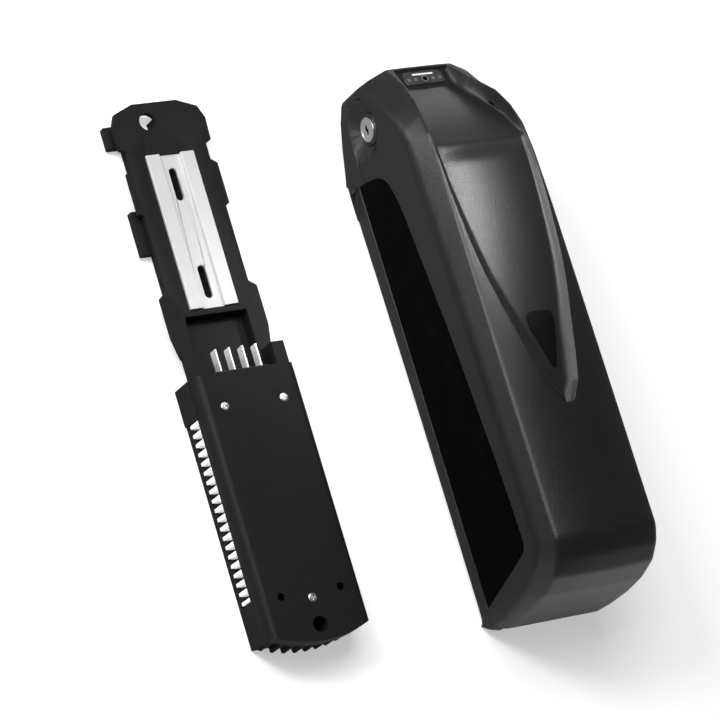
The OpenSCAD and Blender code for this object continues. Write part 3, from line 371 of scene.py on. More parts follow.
# One look for each slot of the record, and three more: smoked, badge and led_off
LOOKS = {
    "dock_plastic": dict(colour=(0.010, 0.010, 0.0105), rough=0.48, grain=0.35, height=0.03, specular=0.11),
    "rail_metal": dict(colour=(0.53, 0.535, 0.54), rough=0.42, grain=0.3, height=0.006, metal=0.25,
            pale=0.1, streak=(2600, 60, 2600)),
    # The heat sink gives off a little light of its own: painted light that lightens its fins past what the
    # lamps give
    "sink_metal": dict(colour=(0.92, 0.925, 0.93), rough=0.42, grain=0.3, height=0.01, metal=0.1,
            painted_glow=0.22, pale=0.1, streak=(60, 2600, 900)),
    "soft_black": dict(colour=(0.02, 0.02, 0.02), rough=0.72, grain=0.5, height=0.02),
    "screw_steel": dict(colour=(0.74, 0.74, 0.73), rough=0.26, grain=0.2, height=0.004, metal=1.0,
            pale=0.1),
    "pad": dict(colour=(0.42, 0.46, 0.55), rough=0.8, grain=0.6, height=0.02, specular=0.2),
    "board": dict(colour=(0.02, 0.10, 0.05), rough=0.35, grain=0.8, height=0.01, specular=0.5),
    "chips": dict(colour=(0.02, 0.02, 0.022), rough=0.5, grain=0.3, height=0.01),
    "capacitor_can": dict(colour=(0.05, 0.06, 0.16), rough=0.3, grain=0.5, height=0.004),
    "terminal_plastic": dict(colour=(0.02, 0.02, 0.021), rough=0.42, grain=0.4, height=0.01),
    "blade_metal": dict(colour=(0.92, 0.91, 0.89), rough=0.3, grain=0.2, height=0.003, metal=0.4, pale=0.1),
    "lead_red": dict(colour=(0.35, 0.02, 0.015), rough=0.45, grain=0.5, height=0.006),
    "rear_plastic": dict(colour=(0.014, 0.014, 0.0145), rough=0.44, grain=0.4, height=0.035),
    "front_plastic": dict(colour=(0.010, 0.010, 0.0105), rough=0.33, grain=0.9, height=0.1),
    "gloss_black": dict(colour=(0.001, 0.001, 0.001), rough=0.07, grain=2.5, height=0.006,
            specular=0.015, dust=0.05),
    "holder_plastic": dict(colour=(0.02, 0.02, 0.022), rough=0.5, grain=0.5, height=0.02),
    "cell_can": dict(colour=(0.05, 0.20, 0.32), rough=0.3, grain=1.5, height=0.01, coat=0.4),
    "nickel": dict(colour=(0.7, 0.69, 0.65), rough=0.3, grain=0.3, height=0.006, metal=1.0, pale=0.1),
    "foam": dict(colour=(0.05, 0.05, 0.052), rough=0.95, grain=0.9, height=0.2, specular=0.1),
    "fuse_plastic": dict(colour=(0.75, 0.30, 0.04), rough=0.25, grain=0.6, height=0.004, coat=0.3),
    "contact_metal": dict(colour=(0.85, 0.68, 0.34), rough=0.25, grain=0.2, height=0.003, metal=1.0,
            pale=0.1),
    "led": dict(colour=(0.62, 0.66, 0.68), rough=0.2, grain=0.4, height=0.003),
    "smoked": dict(colour=(0.035, 0.036, 0.037), rough=0.25, grain=0.4, height=0.004, specular=0.5),
    "badge": dict(colour=(0.004, 0.004, 0.004), rough=0.3, grain=0.4, height=0.004, specular=0.07),
    "led_off": dict(colour=(0.10, 0.10, 0.10), rough=0.3, grain=0.4, height=0.003),
    "button_metal": dict(colour=(0.45, 0.45, 0.46), rough=0.3, grain=0.2, height=0.004, metal=0.9,
            pale=0.1),
    "bezel_plastic": dict(colour=(0.016, 0.016, 0.0165), rough=0.36, grain=0.4, height=0.03),
    "lock_metal": dict(colour=(0.85, 0.85, 0.84), rough=0.28, grain=0.2, height=0.004, metal=1.0, pale=0.1),
    "lock_steel": dict(colour=(0.62, 0.62, 0.62), rough=0.3, grain=0.3, height=0.005, metal=1.0, pale=0.1)}
FINISHES = {name: finish(name, **look) for name, look in LOOKS.items()}


def wear_finish(piece, slot):
    """Gives a piece one finish all over, the one made for a slot of the record."""
    piece.data.materials.clear()
    piece.data.materials.append(FINISHES[slot])


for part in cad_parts.values():
    for index, slot_material in enumerate(part.data.materials):
        kind = (slot_material.name if slot_material else "").split(".")[0]
        if kind in FINISHES:
            part.data.materials[index] = FINISHES[kind]


# The case as one surface

CASE_SIZE = np.array([90.0, 372.0, 108.0])
CASE_HALF = CASE_SIZE[0] / 2
# Each row pairs a point of the side outline [y, z] with a point of the crease [half-width, y, z]
CASE_ROWS = np.array([
    [7.0, 0.0, 35.5, 3.2, 0.0],
    [3.0, 7.0, 36.0, 0.3, 9.0],
    [3.4, 22.6, 36.5, 0.0, 27.0],
    [6.2, 43.8, 37.2, 1.2, 50.0],
    [10.0, 59.5, 37.6, 4.5, 71.0],
    [15.0, 72.0, 37.6, 11.0, 89.0],
    [20.8, 85.0, 37.6, 20.5, 99.0],
    [28.0, 91.5, 37.6, 31.0, 103.8],
    [60.0, 92.0, 37.6, 60.0, 103.5],
    [150.0, 90.2, 37.6, 150.0, 103.5],
    [250.0, 87.3, 37.5, 250.0, 103.2],
    [287.0, 86.3, 37.1, 289.0, 102.4],
    [306.0, 85.6, 36.9, 310.0, 99.8],
    [316.0, 84.0, 34.8, 325.0, 95.4],
    [327.0, 78.8, 32.3, 338.0, 88.6],
    [342.0, 69.5, 27.3, 352.0, 76.2],
    [365.0, 51.5, 24.7, 372.0, 57.3],
    [365.0, 24.0, 24.7, 372.0, 26.0],
    [356.0, 17.0, 25.6, 361.0, 17.5],
    [341.0, 10.0, 27.0, 349.0, 10.0],
    [313.0, 0.0, 27.0, 322.0, 0.0]])
REAR_ROUND = 6.5
# The length over which the outlines are rounded at each of those rows
CASE_ROUNDS = np.array([2, 4, 8, 8, 8, 9, 9, 10, 14, 20, 20, 12, 8, 6, 6, 5, 2.2, 3, 3, 6, 4.0])
# The front face lies above this height, and the dish starts at this length with its tip
FRONT_Z = 50.0
DISH_START = 115.0
# Dish in the front face: half-width of its rim and width of its wall, each along the length
DISH_RIM = np.array([[115.0, 0.0], [115.6, 2.2], [117.0, 4.2], [131.0, 12.2], [150.0, 17.2], [170.0, 21.6],
                     [190.0, 26.2], [210.0, 30.2], [230.0, 32.6], [250.0, 34.2], [270.0, 35.3], [290.0, 35.7],
                     [330.0, 34.0], [340.0, 30.9], [356.0, 25.4], [370.0, 21.3]])
DISH_WALL = np.array([[115.0, 9.0], [142.0, 10.5], [170.0, 10.3], [190.0, 8.8], [210.0, 8.0], [230.0, 7.3],
                      [250.0, 6.4], [270.0, 5.2], [290.0, 4.2], [305.0, 2.8], [338.0, 2.6], [346.0, 4.0],
                      [355.0, 5.3], [370.0, 2.0]])
DISH_DEPTH = 3.6
# Softness of the wall's upper edge as a share of its width, and how fast the wall levels out
DISH_LIP = 0.07
DISH_WALL_POWER = 2.1
# The dish's depth under the nose is found by halving a span of this depth so many times
DEEPEST, HALVINGS = 30.0, 22
# How far the front face rises from the crease to its middle
CROWN = 4.5
# The flat that carries the display: its two ends along the case, its middle and its slope
SHELF_START, SHELF_END = 355.5, 369.3
SHELF_AT = np.array([0.0, 360.8, 59.18])
SHELF_TILT = math.radians(14)
# Spacing of the case's rings in millimetres, and how finely each ring is divided
CASE_SPACING, CASE_DIVISION = 1.9, 2
ROOM_SPACING, ROOM_DIVISION = 6.0, 1
WALL = 2.9
# How much thicker the wall is under the nose, where the dish sinks into it
NOSE_WALL = 6.5


def smoothstep(x):
    """3 x^2 - 2 x^3, which rises from 0 to 1 as x does and is level at both ends."""
    x = np.clip(x, 0.0, 1.0)
    return x * x * (3 - 2 * x)


def quadratic(start, corner, end, t):
    """The curve from start to end that its corner pulls, at shares t of the way.

    It is (1 - t)^2 of the start, 2 t (1 - t) of the corner and t^2 of the end.
    """
    return (1 - t) ** 2 * start + 2 * t * (1 - t) * corner + t * t * end


def bend(start, corner, end, count):
    """Points of the curve that leaves start towards corner and arrives at end, both ends left out."""
    t = (np.arange(1, count + 1) / (count + 1))[None, :, None]
    return quadratic(start[:, None], corner[:, None], end[:, None], t)


def between(start, end, count):
    """Points at even shares t of the way, 1 - t of the start and t of the end, both ends taken."""
    t = np.linspace(0, 1, count)[None, :, None]
    return (1 - t) * start[:, None] + t * end[:, None]


def towards(point, other, length):
    """The point that lies a length from one point on the way to another, at most 45% of the way."""
    way = other - point
    far = np.linalg.norm(way, axis=1, keepdims=True)
    return point + way * np.minimum(np.asarray(length).reshape(-1, 1) / np.maximum(far, 1e-9), 0.45)


def case_rows(spacing):
    """The paired outlines, rounded at their corners and sampled closer where they bend.

    A fine even sampling of the pairs is averaged over a window as long as the row's rounding.
    Rows are then picked from it, closer where the outline bends, at the dish's tip and at both
    ends of the shelf. Returns the rows and the outward normals of the crease's outline.
    """
    step = 0.2
    legs = np.linalg.norm(np.diff(CASE_ROWS[:, 3:5], axis=0), axis=1)
    legs = np.maximum(legs, 0.8 * np.linalg.norm(np.diff(CASE_ROWS[:, 0:2], axis=0), axis=1))
    at = np.concatenate([[0], np.cumsum(legs)])
    fine = np.arange(0, at[-1] + step / 2, step)
    raw = np.stack([np.interp(fine, at, CASE_ROWS[:, i]) for i in range(5)], axis=1)
    wanted = np.interp(fine, at, CASE_ROUNDS)
    smooth_by = []
    lengths = np.array([1.2, 3.0, 6.0, 12.0, 24.0])
    for length in lengths:
        half = int(round(length / step / 2))
        kernel = np.hanning(2 * half + 3)[1:-1]
        kernel /= kernel.sum()
        ends = np.concatenate([2 * raw[:1] - raw[half:0:-1], raw, 2 * raw[-1:] - raw[-2:-half - 2:-1]])
        smooth_by.append(np.stack([np.convolve(ends[:, i], kernel, "valid") for i in range(5)], axis=1))
    smooth_by = np.array(smooth_by)
    level = np.clip(np.interp(wanted, lengths, np.arange(5)), 0, 3.999)
    low = level.astype(int)
    part = (level - low)[:, None]
    every = np.arange(len(fine))
    rows = smooth_by[low, every] * (1 - part) + smooth_by[low + 1, every] * part
    along = np.gradient(rows[:, 3:5], axis=0)
    along /= np.linalg.norm(along, axis=1, keepdims=True)
    bend_rate = np.linalg.norm(np.gradient(along, axis=0), axis=1) / step
    y = rows[:, 3]
    front = (rows[:, 4] > FRONT_Z) & (y > 20)
    # Rows per millimetre: even ones, more where the outline bends, then a bump at each place
    close = 1 / spacing + bend_rate * 7 / spacing ** 0.5
    tip, past_tip = y - 117, y - 128
    close += front * (1.1 * np.exp(-(tip / 4) ** 2) + 0.35 * np.exp(-(past_tip / 12) ** 2)) / spacing ** 0.5
    to_start, to_end = y - SHELF_START, y - SHELF_END - 0.3
    close += front * (1.2 * np.exp(-(to_start / 1.6) ** 2) + 2.2 * np.exp(-(to_end / 0.9) ** 2))
    total = np.cumsum(np.minimum(close, 4)) * step
    count = int(total[-1])
    picks = np.interp(np.linspace(total[0], total[-1], count), total, every)
    rows = np.stack([np.interp(picks, every, rows[:, i]) for i in range(5)], axis=1)
    normal = np.stack([np.interp(picks, every, -along[:, 1]), np.interp(picks, every, along[:, 0])], axis=1)
    return rows, normal / np.linalg.norm(normal, axis=1, keepdims=True)


def dish_rim(y, xm):
    """Half-width of the dish's rim at the length y along the case.

    It is what DISH_RIM gives there, but at most the crease's half-width xm less an inset.
    """
    inset = np.interp(y, [290, 310, 340], [1.6, 1.1, 0.9])
    return np.minimum(np.interp(y, DISH_RIM[:, 0], DISH_RIM[:, 1]), xm - inset)


def nose_floor(y):
    """Height of the dish's floor: z = 99.7 - 0.52 t - 0.00335 t^2 from y = 300 on, then the shelf's plane."""
    t = np.maximum(y - 300, 0)
    shelf = SHELF_AT[2] - math.tan(SHELF_TILT) * (y - SHELF_AT[1])
    return np.where(y < SHELF_START, 99.7 - 0.52 * t - 0.00335 * t * t, shelf)


def dish_drop(x, y, z_mid, normal, xm, rise):
    """How far the front face sinks at half-width x, measured along the row's normal.

    The wall falls from the rim in a curve that levels out on the floor. The floor follows the
    crown over most of the length, and from the nose on it is flat across and keeps to nose_floor,
    which a depth d reaches where z - n_z d = floor(y - n_y d).
    """
    rim = dish_rim(y, xm)
    wall = np.interp(y, DISH_WALL[:, 0], DISH_WALL[:, 1])
    into = np.clip((rim - np.abs(x)) / wall, 0, 1)
    into = into * into / (into + DISH_LIP) * (1 + DISH_LIP)
    fall = 1 - (1 - into) ** DISH_WALL_POWER
    low, high = np.zeros_like(y), np.full_like(y, DEEPEST)
    for _ in range(HALVINGS):
        nose = (low + high) / 2
        above = z_mid - normal[:, 1:] * nose > nose_floor(y - normal[:, :1] * nose)
        low, high = np.where(above, nose, low), np.where(above, high, nose)
    nose = nose + rise
    blend = smoothstep((y - 284) / 20)
    depth = DISH_DEPTH * (1 - blend) + nose * blend
    depth = depth * (1 - smoothstep((y - SHELF_END) / 0.9))
    return np.where((y > DISH_START) & (z_mid > FRONT_Z), depth * fall, 0)


def case_rings(spacing, across):
    """Rings of the whole case, one for each pair of outline points.

    A ring runs from the middle of the rear over its edge, up the side, over the chamfer and the
    strip beside the dish, down the dish's wall and over its floor, then back on the other side.
    """
    rows, normal = case_rows(spacing)
    count = len(rows)
    ey, ez, xm, my, mz = rows.T
    share = np.linspace(0, 1, count)
    # Along the rear a ring lies 0.4 of its way by smoothstep and 0.6 of it evenly
    rear_low, rear_high = 8, 317
    rear_span = rear_high - rear_low
    rear_y = rear_low + rear_span * smoothstep(share) * 0.4 + rear_span * share * 0.6
    zero = np.zeros(count)
    rear_mid = np.stack([zero, rear_y, zero], axis=1)
    rear_edge = np.stack([zero + CASE_HALF, rear_y, zero], axis=1)
    side = np.stack([zero + CASE_HALF, ey, ez], axis=1)
    crease = np.stack([xm, my, mz], axis=1)

    toe_high = 0.25 + 0.75 * smoothstep((my - 2) / 34)
    toe_low = 0.12 + 0.13 * smoothstep(mz / 60)
    nose_high = 1 - 0.72 * smoothstep((my - 285) / 62)
    toe = my < 60
    crown_share = np.where(mz > 60, np.where(toe, toe_high, nose_high), np.where(toe, toe_low, 0.1))
    crown = CROWN * np.interp(share * count, np.arange(count), crown_share)
    normal3 = np.stack([zero, normal[:, 0], normal[:, 1]], axis=1)

    def face_point(x):
        """Points of the front face at half-width x: the crease, plus the crown, less the dish's drop.

        The crown is 1 - (x / xm)^2.3 of its full height. It and the drop go along the normal.
        """
        rise = crown[:, None] * (1 - (x / xm[:, None]) ** 2.3)
        y, z = (np.repeat(value[:, None], x.shape[1], 1) for value in (my, mz))
        drop = dish_drop(x, y, mz[:, None], normal, xm[:, None], rise)
        base = np.stack([x, y, z], axis=2)
        return base + normal3[:, None, :] * (rise - drop)[:, :, None]

    edge_round = np.interp(share, [0, 0.2, 0.6, 1], [2.5, 5.5, 5.5, 3.5])
    edge_round = edge_round + 6.5 * smoothstep((ey - 335) / 24) * smoothstep((ez - 44) / 10)
    crease_round = np.interp(my, [0, 30, 286, 330, 372], [3.0, 2.2, 2.0, 1.8, 1.4])
    rim = dish_rim(my, xm)
    wall = np.interp(my, DISH_WALL[:, 0], DISH_WALL[:, 1])
    front = (my > DISH_START) & (mz > FRONT_Z)
    fan = 0.7 + 22 * smoothstep((DISH_START - my) / 45)
    rim = np.where(front, np.maximum(rim, 0.7), fan)
    rim = np.where(toe, np.minimum(rim, 22.0), rim)
    nose_end = (mz < 54) & (my > 200)
    rim = np.where(nose_end, 21.3, rim)
    floor = np.where(front, np.maximum(rim - wall, rim * 0.5), rim * 0.5)

    inner = xm - np.minimum(crease_round, (xm - rim) * 0.5)
    k = across
    strip = inner[:, None] + (rim - inner)[:, None] * (np.linspace(0, 1, 5 * k) ** 0.8)[None, :]
    fall = rim[:, None] + (floor - rim)[:, None] * (np.linspace(0, 1, 10 * k + 1)[1:] ** 1.25)[None, :]
    bed = floor[:, None] * (1 - np.linspace(0, 1, 7 * k + 1)[1:])[None, :]
    face = face_point(np.concatenate([strip, fall, bed], axis=1))

    edge_a = towards(rear_edge, rear_mid, zero + REAR_ROUND)
    edge_b = towards(rear_edge, side, zero + REAR_ROUND)
    side_a = towards(side, rear_edge, edge_round)
    side_b = towards(side, crease, edge_round)
    crease_a = towards(crease, side, crease_round)
    half = np.concatenate([
        between(rear_mid, edge_a, 3 * k), bend(edge_a, rear_edge, edge_b, 6),
        between(edge_b, side_a, 5 * k), bend(side_a, side, side_b, 3 + 2 * k),
        between(side_b, crease_a, 3 * k), bend(crease_a, crease, face[:, 0], 2 + 2 * k), face], axis=1)
    # The crown and the rounding may carry a point a little past the case's own box
    half[..., 1:] = np.clip(half[..., 1:], 0, CASE_SIZE[1:])
    other = half[:, -2:0:-1] * np.array([-1.0, 1.0, 1.0])
    return np.concatenate([half, other], axis=1)


def case_room():
    """The space inside the walls: the outside drawn in towards the middle, lower under the nose."""
    rings = case_rings(ROOM_SPACING, ROOM_DIVISION)
    middle = CASE_SIZE / 2 * [0, 1, 1]
    inside = middle + (rings - middle) * (1 - 2 * WALL / CASE_SIZE)
    under = smoothstep((inside[..., 1] - 290) / 30) * smoothstep((inside[..., 2] - 38) / 20)
    inside[..., 2] -= NOSE_WALL * under
    return tube_piece("room", inside, BATTERY)


# The recess around the lock and the line where the two shells meet, as [y, z] seen from the side
BEZEL = np.array([[359, 30], [358, 46], [343, 57], [330, 56.5], [321, 47.5], [321, 21.5], [338, 22.6]], float)
BEZEL_DEPTH = 9.0
PARTING = [[-5, 13.0], [308, 13.0], [308, 22.2], [321, 22.2], [340, 30], [359, 30.4],
           [366.5, 38.9], [380, 38.9]]
PARTING_GAP = 0.1


def beyond_parting(z, way):
    """Everything between the line where the shells meet and a height, less a gap.

    way is 1 for a height in front of the line and -1 for one behind it.
    """
    line = [[at_y, at_z + way * PARTING_GAP] for at_y, at_z in PARTING]
    return prism("beyond", line + [[380, z], [-5, z]], -60, 60, BATTERY)


def rounded(outline, radius, count=6):
    """An outline whose corners are replaced by curves that start a length before each corner."""
    points = np.asarray(outline, float)
    radius = np.broadcast_to(np.asarray(radius, float), len(points))
    start = towards(points, np.roll(points, 1, axis=0), radius)
    end = towards(points, np.roll(points, -1, axis=0), radius)
    t = np.linspace(0, 1, count)[None, :, None]
    return quadratic(start[:, None], points[:, None], end[:, None], t).reshape(-1, 2)


# The side panels' outline as [y, z]
PANEL = rounded([[15.2, 14.4], [35.2, 77.4], [82.0, 75.8], [181.0, 68.0], [247.0, 60.2], [279.0, 56.6],
                 [303.0, 48.0], [308.2, 15.2]], [1.5, 7, 20, 20, 20, 14, 24, 1.5], 12)
PANEL_DEPTH = 1.6
# Two boxes each, for the wider lower part of the case and the rest: the channel that takes the
# dock, and the block that is kept solid inside the case for the channel to be cut from
CHANNEL = [[[-37.5, -9, -9], [37.5, 240, 23.5]], [[-34, 239, -9], [34, 390, 23.5]]]
TRAY = [[[-40, 2, -4], [40, 241, 26]], [[-36.5, 240, -4], [36.5, 370, 26]]]


def two_boxes(low, high):
    """One solid from two boxes that overlap, each given by its corners."""
    return carve(box_solid("low", *low, BATTERY), [box_solid("high", *high, BATTERY)], "UNION")


def pocket(outline, depth, side):
    """A cutter for a recess in one side wall, a little wide, with a lead all round its mouth."""
    wide, lead, outside = 0.18, 0.55, 3
    far = CASE_HALF + outside
    body = prism("pocket", outline, CASE_HALF - depth, far, BATTERY, wide, wide)
    mouth = prism("mouth", outline, CASE_HALF - lead, far, BATTERY, wide, wide + lead + outside)
    body = carve(body, [mouth], "UNION")
    return mirror_x(body, BATTERY) if side < 0 else body


def offset(outline, grow):
    """A closed outline with every point moved out by a length, square to the line past it.

    That line runs from the point before to the point after.
    """
    points = np.asarray(outline, float)
    way = np.roll(points, -1, axis=0) - np.roll(points, 1, axis=0)
    out = np.column_stack([way[:, 1], -way[:, 0]]) / np.linalg.norm(way, axis=1, keepdims=True)
    turn = np.sum(points[:, 0] * np.roll(points[:, 1], -1) - points[:, 1] * np.roll(points[:, 0], -1))
    return points + out * grow * np.sign(turn)


def stack(name, outline, levels, axis, origin, where=None):
    """A closed solid over an outline, whose size changes by grow at each level [position, grow].

    Along x the outline is [y, z], along z it is [x, y]. where maps the points afterwards.
    """
    rings = []
    for level, grow in levels:
        flat = offset(outline, grow)
        column = np.full(len(flat), level)
        rings.append(np.column_stack([column, flat] if axis == "x" else [flat, column]))
    rings = np.array(rings)
    return tube_piece(name, where(rings) if where else rings, origin)


def on_shelf(points):
    """Points given on the shelf's own plane as [across, up the shelf, out of it], in the assembly's frame.

    They are turned by the shelf's slope about X and moved to its middle.
    """
    across, along, out = np.moveaxis(np.asarray(points, float), -1, 0)
    c, s = math.cos(SHELF_TILT), math.sin(SHELF_TILT)
    return np.stack([across, along * c + out * s, out * c - along * s], axis=-1) + SHELF_AT


def joined(name, pieces):
    """One object that holds the meshes of several."""
    work = bmesh.new()
    for piece in pieces:
        work.from_mesh(piece.data)
        bpy.data.objects.remove(piece)
    mesh = bpy.data.meshes.new(name)
    work.to_mesh(mesh)
    work.free()
    whole = bpy.data.objects.new(name, mesh)
    scene.collection.objects.link(whole)
    return whole


def dressed(piece, body, slot, node=None, sharp=SHARP, look=None):
    """Shades a piece, hangs it on its body, gives it its finish and hides a node it is drawn in place of.

    look names a finish that the piece wears in place of its slot's own.
    """
    work = bmesh.new()
    work.from_mesh(piece.data)
    mark_smooth(work, sharp)
    work.to_mesh(piece.data)
    work.free()
    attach(piece, body)
    if node:
        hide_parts(node)
    wear_finish(piece, slot)
    if look:
        piece.data.materials[0] = FINISHES[look]


front_shell = tube_piece("front_shell_finish", case_rings(CASE_SPACING, CASE_DIVISION), BATTERY)
rear_shell = twin(front_shell, "rear_shell_finish")
carve(front_shell, [beyond_parting(120, 1)], "INTERSECT")
carve(front_shell, [case_room(), pocket(PANEL, PANEL_DEPTH, 1), pocket(PANEL, PANEL_DEPTH, -1),
                    pocket(BEZEL, BEZEL_DEPTH, -1)])
carve(rear_shell, [beyond_parting(-5, -1)], "INTERSECT")
room = carve(case_room(), [two_boxes(*TRAY)])
carve(rear_shell, [room, two_boxes(*CHANNEL), pocket(BEZEL, BEZEL_DEPTH, -1)])
dressed(front_shell, "battery", "front_plastic", "front_shell")
dressed(rear_shell, "battery", "rear_plastic", "rear_shell")

# What sits on the battery

# Here and below, levels of a stack are [distance from the middle plane or height, grow]
PANEL_LEVELS = [[43.4, 0], [44.5, 0], [44.78, -0.1], [44.92, -0.4], [44.95, -0.9]]
for side, node in ((1, "right_side_panel"), (-1, "left_side_panel")):
    panel = stack(node + "_finish", PANEL, PANEL_LEVELS, "x", BATTERY)
    dressed(mirror_x(panel, BATTERY) if side < 0 else panel, "battery", "gloss_black", node)

# The lock's axis as [y, z]. Its pieces are drawn on the right side and mirrored to the left.
LOCK = np.array([338.0, 41.0])
# How many points each ring of the bezel has
RAYS = 132


def bezel_ring(x, share, radius):
    """Points around the lock at the distance x from the middle plane, one on each of RAYS even rays.

    A point's reach is radius + share (reach of the recess's edge - radius).
    """
    edge = rounded(BEZEL, 2.6, 9) - LOCK
    angle = np.arctan2(edge[:, 1], edge[:, 0])
    order = np.argsort(angle)
    want = np.linspace(-math.pi, math.pi, RAYS, endpoint=False)
    reach = np.interp(want, angle[order], np.linalg.norm(edge, axis=1)[order], period=2 * math.pi)
    reach = radius + (reach - radius) * share
    return np.column_stack([np.full(RAYS, x), LOCK[0] + reach * np.cos(want), LOCK[1] + reach * np.sin(want)])


# The bezel's rings as bezel_ring takes them, then profiles of [distance from the middle plane, radius]
FUNNEL = ((37.0, 1, 11), (44.9, 1, 11), (45.15, 0.98, 11), (45.15, 0.93, 11),
          (44.95, 0.9, 11), (40.2, 0.03, 11), (40.0, 0, 10.8), (37.2, 0, 10.8))
BARREL = [[34, 10.6], [41.0, 10.6], [41.4, 10.2], [41.4, 9.3], [41.0, 8.9]]
PLUG = [[36, 8.4], [41.9, 8.4], [42.4, 8.1], [42.6, 7.6], [42.55, 7.0], [42.3, 6.6]]
KEYWAY = rounded([[-3.4, -0.9], [-0.4, -0.9], [-0.2, -1.6], [1.9, -1.6], [2.1, -0.9], [3.4, -0.7], [3.4, 0.9],
                  [0.2, 1.0], [0.0, 1.7], [-1.8, 1.7], [-2.0, 1.0], [-3.4, 0.9]], 0.12, 3) + LOCK
FUNNEL_SHARP = 17

funnel = tube_piece("lock_bezel_finish", [bezel_ring(*ring) for ring in FUNNEL], BATTERY)
dressed(mirror_x(funnel, BATTERY), "battery", "bezel_plastic", "lock_bezel", FUNNEL_SHARP)
barrel = turned("lock_body_finish", "x", (0, *LOCK), BARREL, BATTERY)
dressed(mirror_x(barrel, BATTERY), "battery", "bezel_plastic", "lock_body")
plug = turned("lock_cylinder_finish", "x", (0, *LOCK), PLUG, BATTERY)
carve(plug, [stack("keyway", KEYWAY, [[39.5, 0], [47.0, 0]], "x", BATTERY)])
dressed(mirror_x(plug, BATTERY), "lock_turn", "lock_metal", "lock_cylinder")
# A black piece just inside the keyway is painted shade: it darkens the cut as its depth would
dark = stack("keyway_painted_shade", offset(KEYWAY, -0.05), [[39.6, 0], [42.1, 0]], "x", BATTERY)
dressed(mirror_x(dark, BATTERY), "lock_turn", "gloss_black")

# Right half of the badge's outline as [x, y], and the rounds of its corners
BADGE_HALF = np.array([[1.4, 141.3], [9.4, 168.0], [10.0, 176.2], [8.4, 179.4], [4.0, 180.2]])
BADGE_ROUNDS = np.array([0.8, 4, 2.4, 2.4, 2.4])
BADGE = rounded(np.concatenate([BADGE_HALF, BADGE_HALF[::-1] * [-1, 1]]),
                np.concatenate([BADGE_ROUNDS, BADGE_ROUNDS[::-1]]))
BADGE_LEVELS = [[103.6, 0], [104.75, 0], [104.92, -0.12], [104.97, -0.4]]
plate = stack("badge_plate_finish", BADGE, BADGE_LEVELS, "z", BATTERY)
dressed(plate, "battery", "gloss_black", "badge_plate", look="badge")


def shelf_piece(name, outline, levels):
    """A closed solid over an outline on the shelf's plane."""
    return stack(name, outline, levels, "z", BATTERY, on_shelf)


def disc_outline(radius, x, along, around=40):
    """A circle on the shelf's plane."""
    turn = np.arange(around) * math.pi / (around / 2)
    return np.column_stack([np.cos(turn), np.sin(turn)]) * radius + [x, along]


# Outlines on the shelf's plane as [across, up the shelf]
LENS = rounded([[-15, -5.1], [15, -5.1], [15, 5.25], [-15, 5.25]], [2.4, 2.4, 6.2, 2.6], 9) + [0, 2.1]
LENS_LEVELS = [[-1.2, 0], [0.9, 0], [1.2, -0.12], [1.32, -0.4], [1.35, -0.9]]
BAR = rounded([[-7.8, 4.0], [7.8, 4.0], [7.8, 5.3], [-7.8, 5.3]], 0.3, 3)
DOT_RADIUS = 1.35
DOT_ALONG = 0.7
DOTS_ACROSS = (-11.8, -6.7, 6.7, 11.8)
DOT_LEVELS = [[1.2, 0], [1.4, 0]]
BUTTON_ALONG = 0.4
KNOB_LEVELS = [[-0.5, 0], [1.75, 0], [2.0, -0.2], [2.05, -0.6]]

window = shelf_piece("indicator_lens_finish", LENS, LENS_LEVELS)
dressed(window, "battery", "gloss_black", "indicator_lens", look="smoked")
dressed(shelf_piece("indicator_bar", BAR, [[1.2, 0], [1.42, 0]]), "battery", "led")
dots = [shelf_piece("dot", disc_outline(DOT_RADIUS, x, DOT_ALONG), DOT_LEVELS) for x in DOTS_ACROSS]
dressed(joined("indicator_dots", dots), "battery", "led", look="led_off")
knob = shelf_piece("power_button_finish", disc_outline(3.1, 0, BUTTON_ALONG), KNOB_LEVELS)
dressed(knob, "button", "button_metal", "power_button", look="smoked")
for name, radius, top, slot in (("button_ring", 2.5, 2.06, "button_metal"),
                                ("button_middle", 1.7, 2.1, "gloss_black")):
    disc = shelf_piece(name, disc_outline(radius, 0, BUTTON_ALONG), [[1.8, 0], [top, 0]])
    dressed(disc, "button", slot)

# The dock

# Node, the width of its edges' round, slot
for node, width, slot in (("dock_base", 0.5, "dock_plastic"), ("mounting_rail", 0.35, "rail_metal"),
                          ("heat_sink", 0.3, "sink_metal"), ("terminal_block", 0.4, "terminal_plastic"),
                          ("controller_cover", 1.0, "dock_plastic")):
    piece = softened(node, width)
    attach(piece, "dock")
    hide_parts(node)
    wear_finish(piece, slot)

# The cover's screws, and the two small holes near the one at its lower end, as [x, y]
SCREWS = ((-21.3, 158.5), (21.3, 158.5), (0.0, 28.0))
HOLES = ((-21.3, 32.0), (21.3, 32.0))
SCREW_HEAD = [[27.5, 3.0], [30.0, 3.0], [30.25, 2.85], [30.4, 2.4], [30.45, 1.6]]
CROSS_ARMS = ((1.9, 0.38), (0.38, 1.9))
CROSS_FLOOR = 29.2

heads = []
for x, y in SCREWS:
    head = turned("head", "z", (x, y, 0), SCREW_HEAD, DOCK, 40)
    cross = [box_solid("arm", (x - a, y - b, CROSS_FLOOR), (x + a, y + b, 31), DOCK) for a, b in CROSS_ARMS]
    heads.append(carve(head, cross))
dressed(joined("cover_screws_finish", heads), "dock", "screw_steel", "cover_screws")
# A black disc a little way down each small hole is painted shade: it darkens the hole as its depth would
for x, y in HOLES:
    shade = turned("plug_hole_painted_shade", "z", (x, y, 0), [[28.0, 2.55], [28.4, 2.55]], DOCK, 32)
    dressed(shade, "dock", "gloss_black")

# Camera, floor and light

# The camera as fitted to the photograph: its axes, its distance from a point of the object, its lens
RIGHT = Vector((0.8554188, -0.2821838, 0.4343166))
UP = Vector((0.1294505, 0.9284205, 0.3482500))
BACK = Vector((-0.5014989, -0.2416771, 0.8307172))
EYE = Vector((-0.004, -0.0024, 0.05)) + RIGHT * -0.01181 + UP * -0.009893 + BACK * 2.493556
SENSOR_WIDTH, FOCAL_LENGTH = 36, 195.732

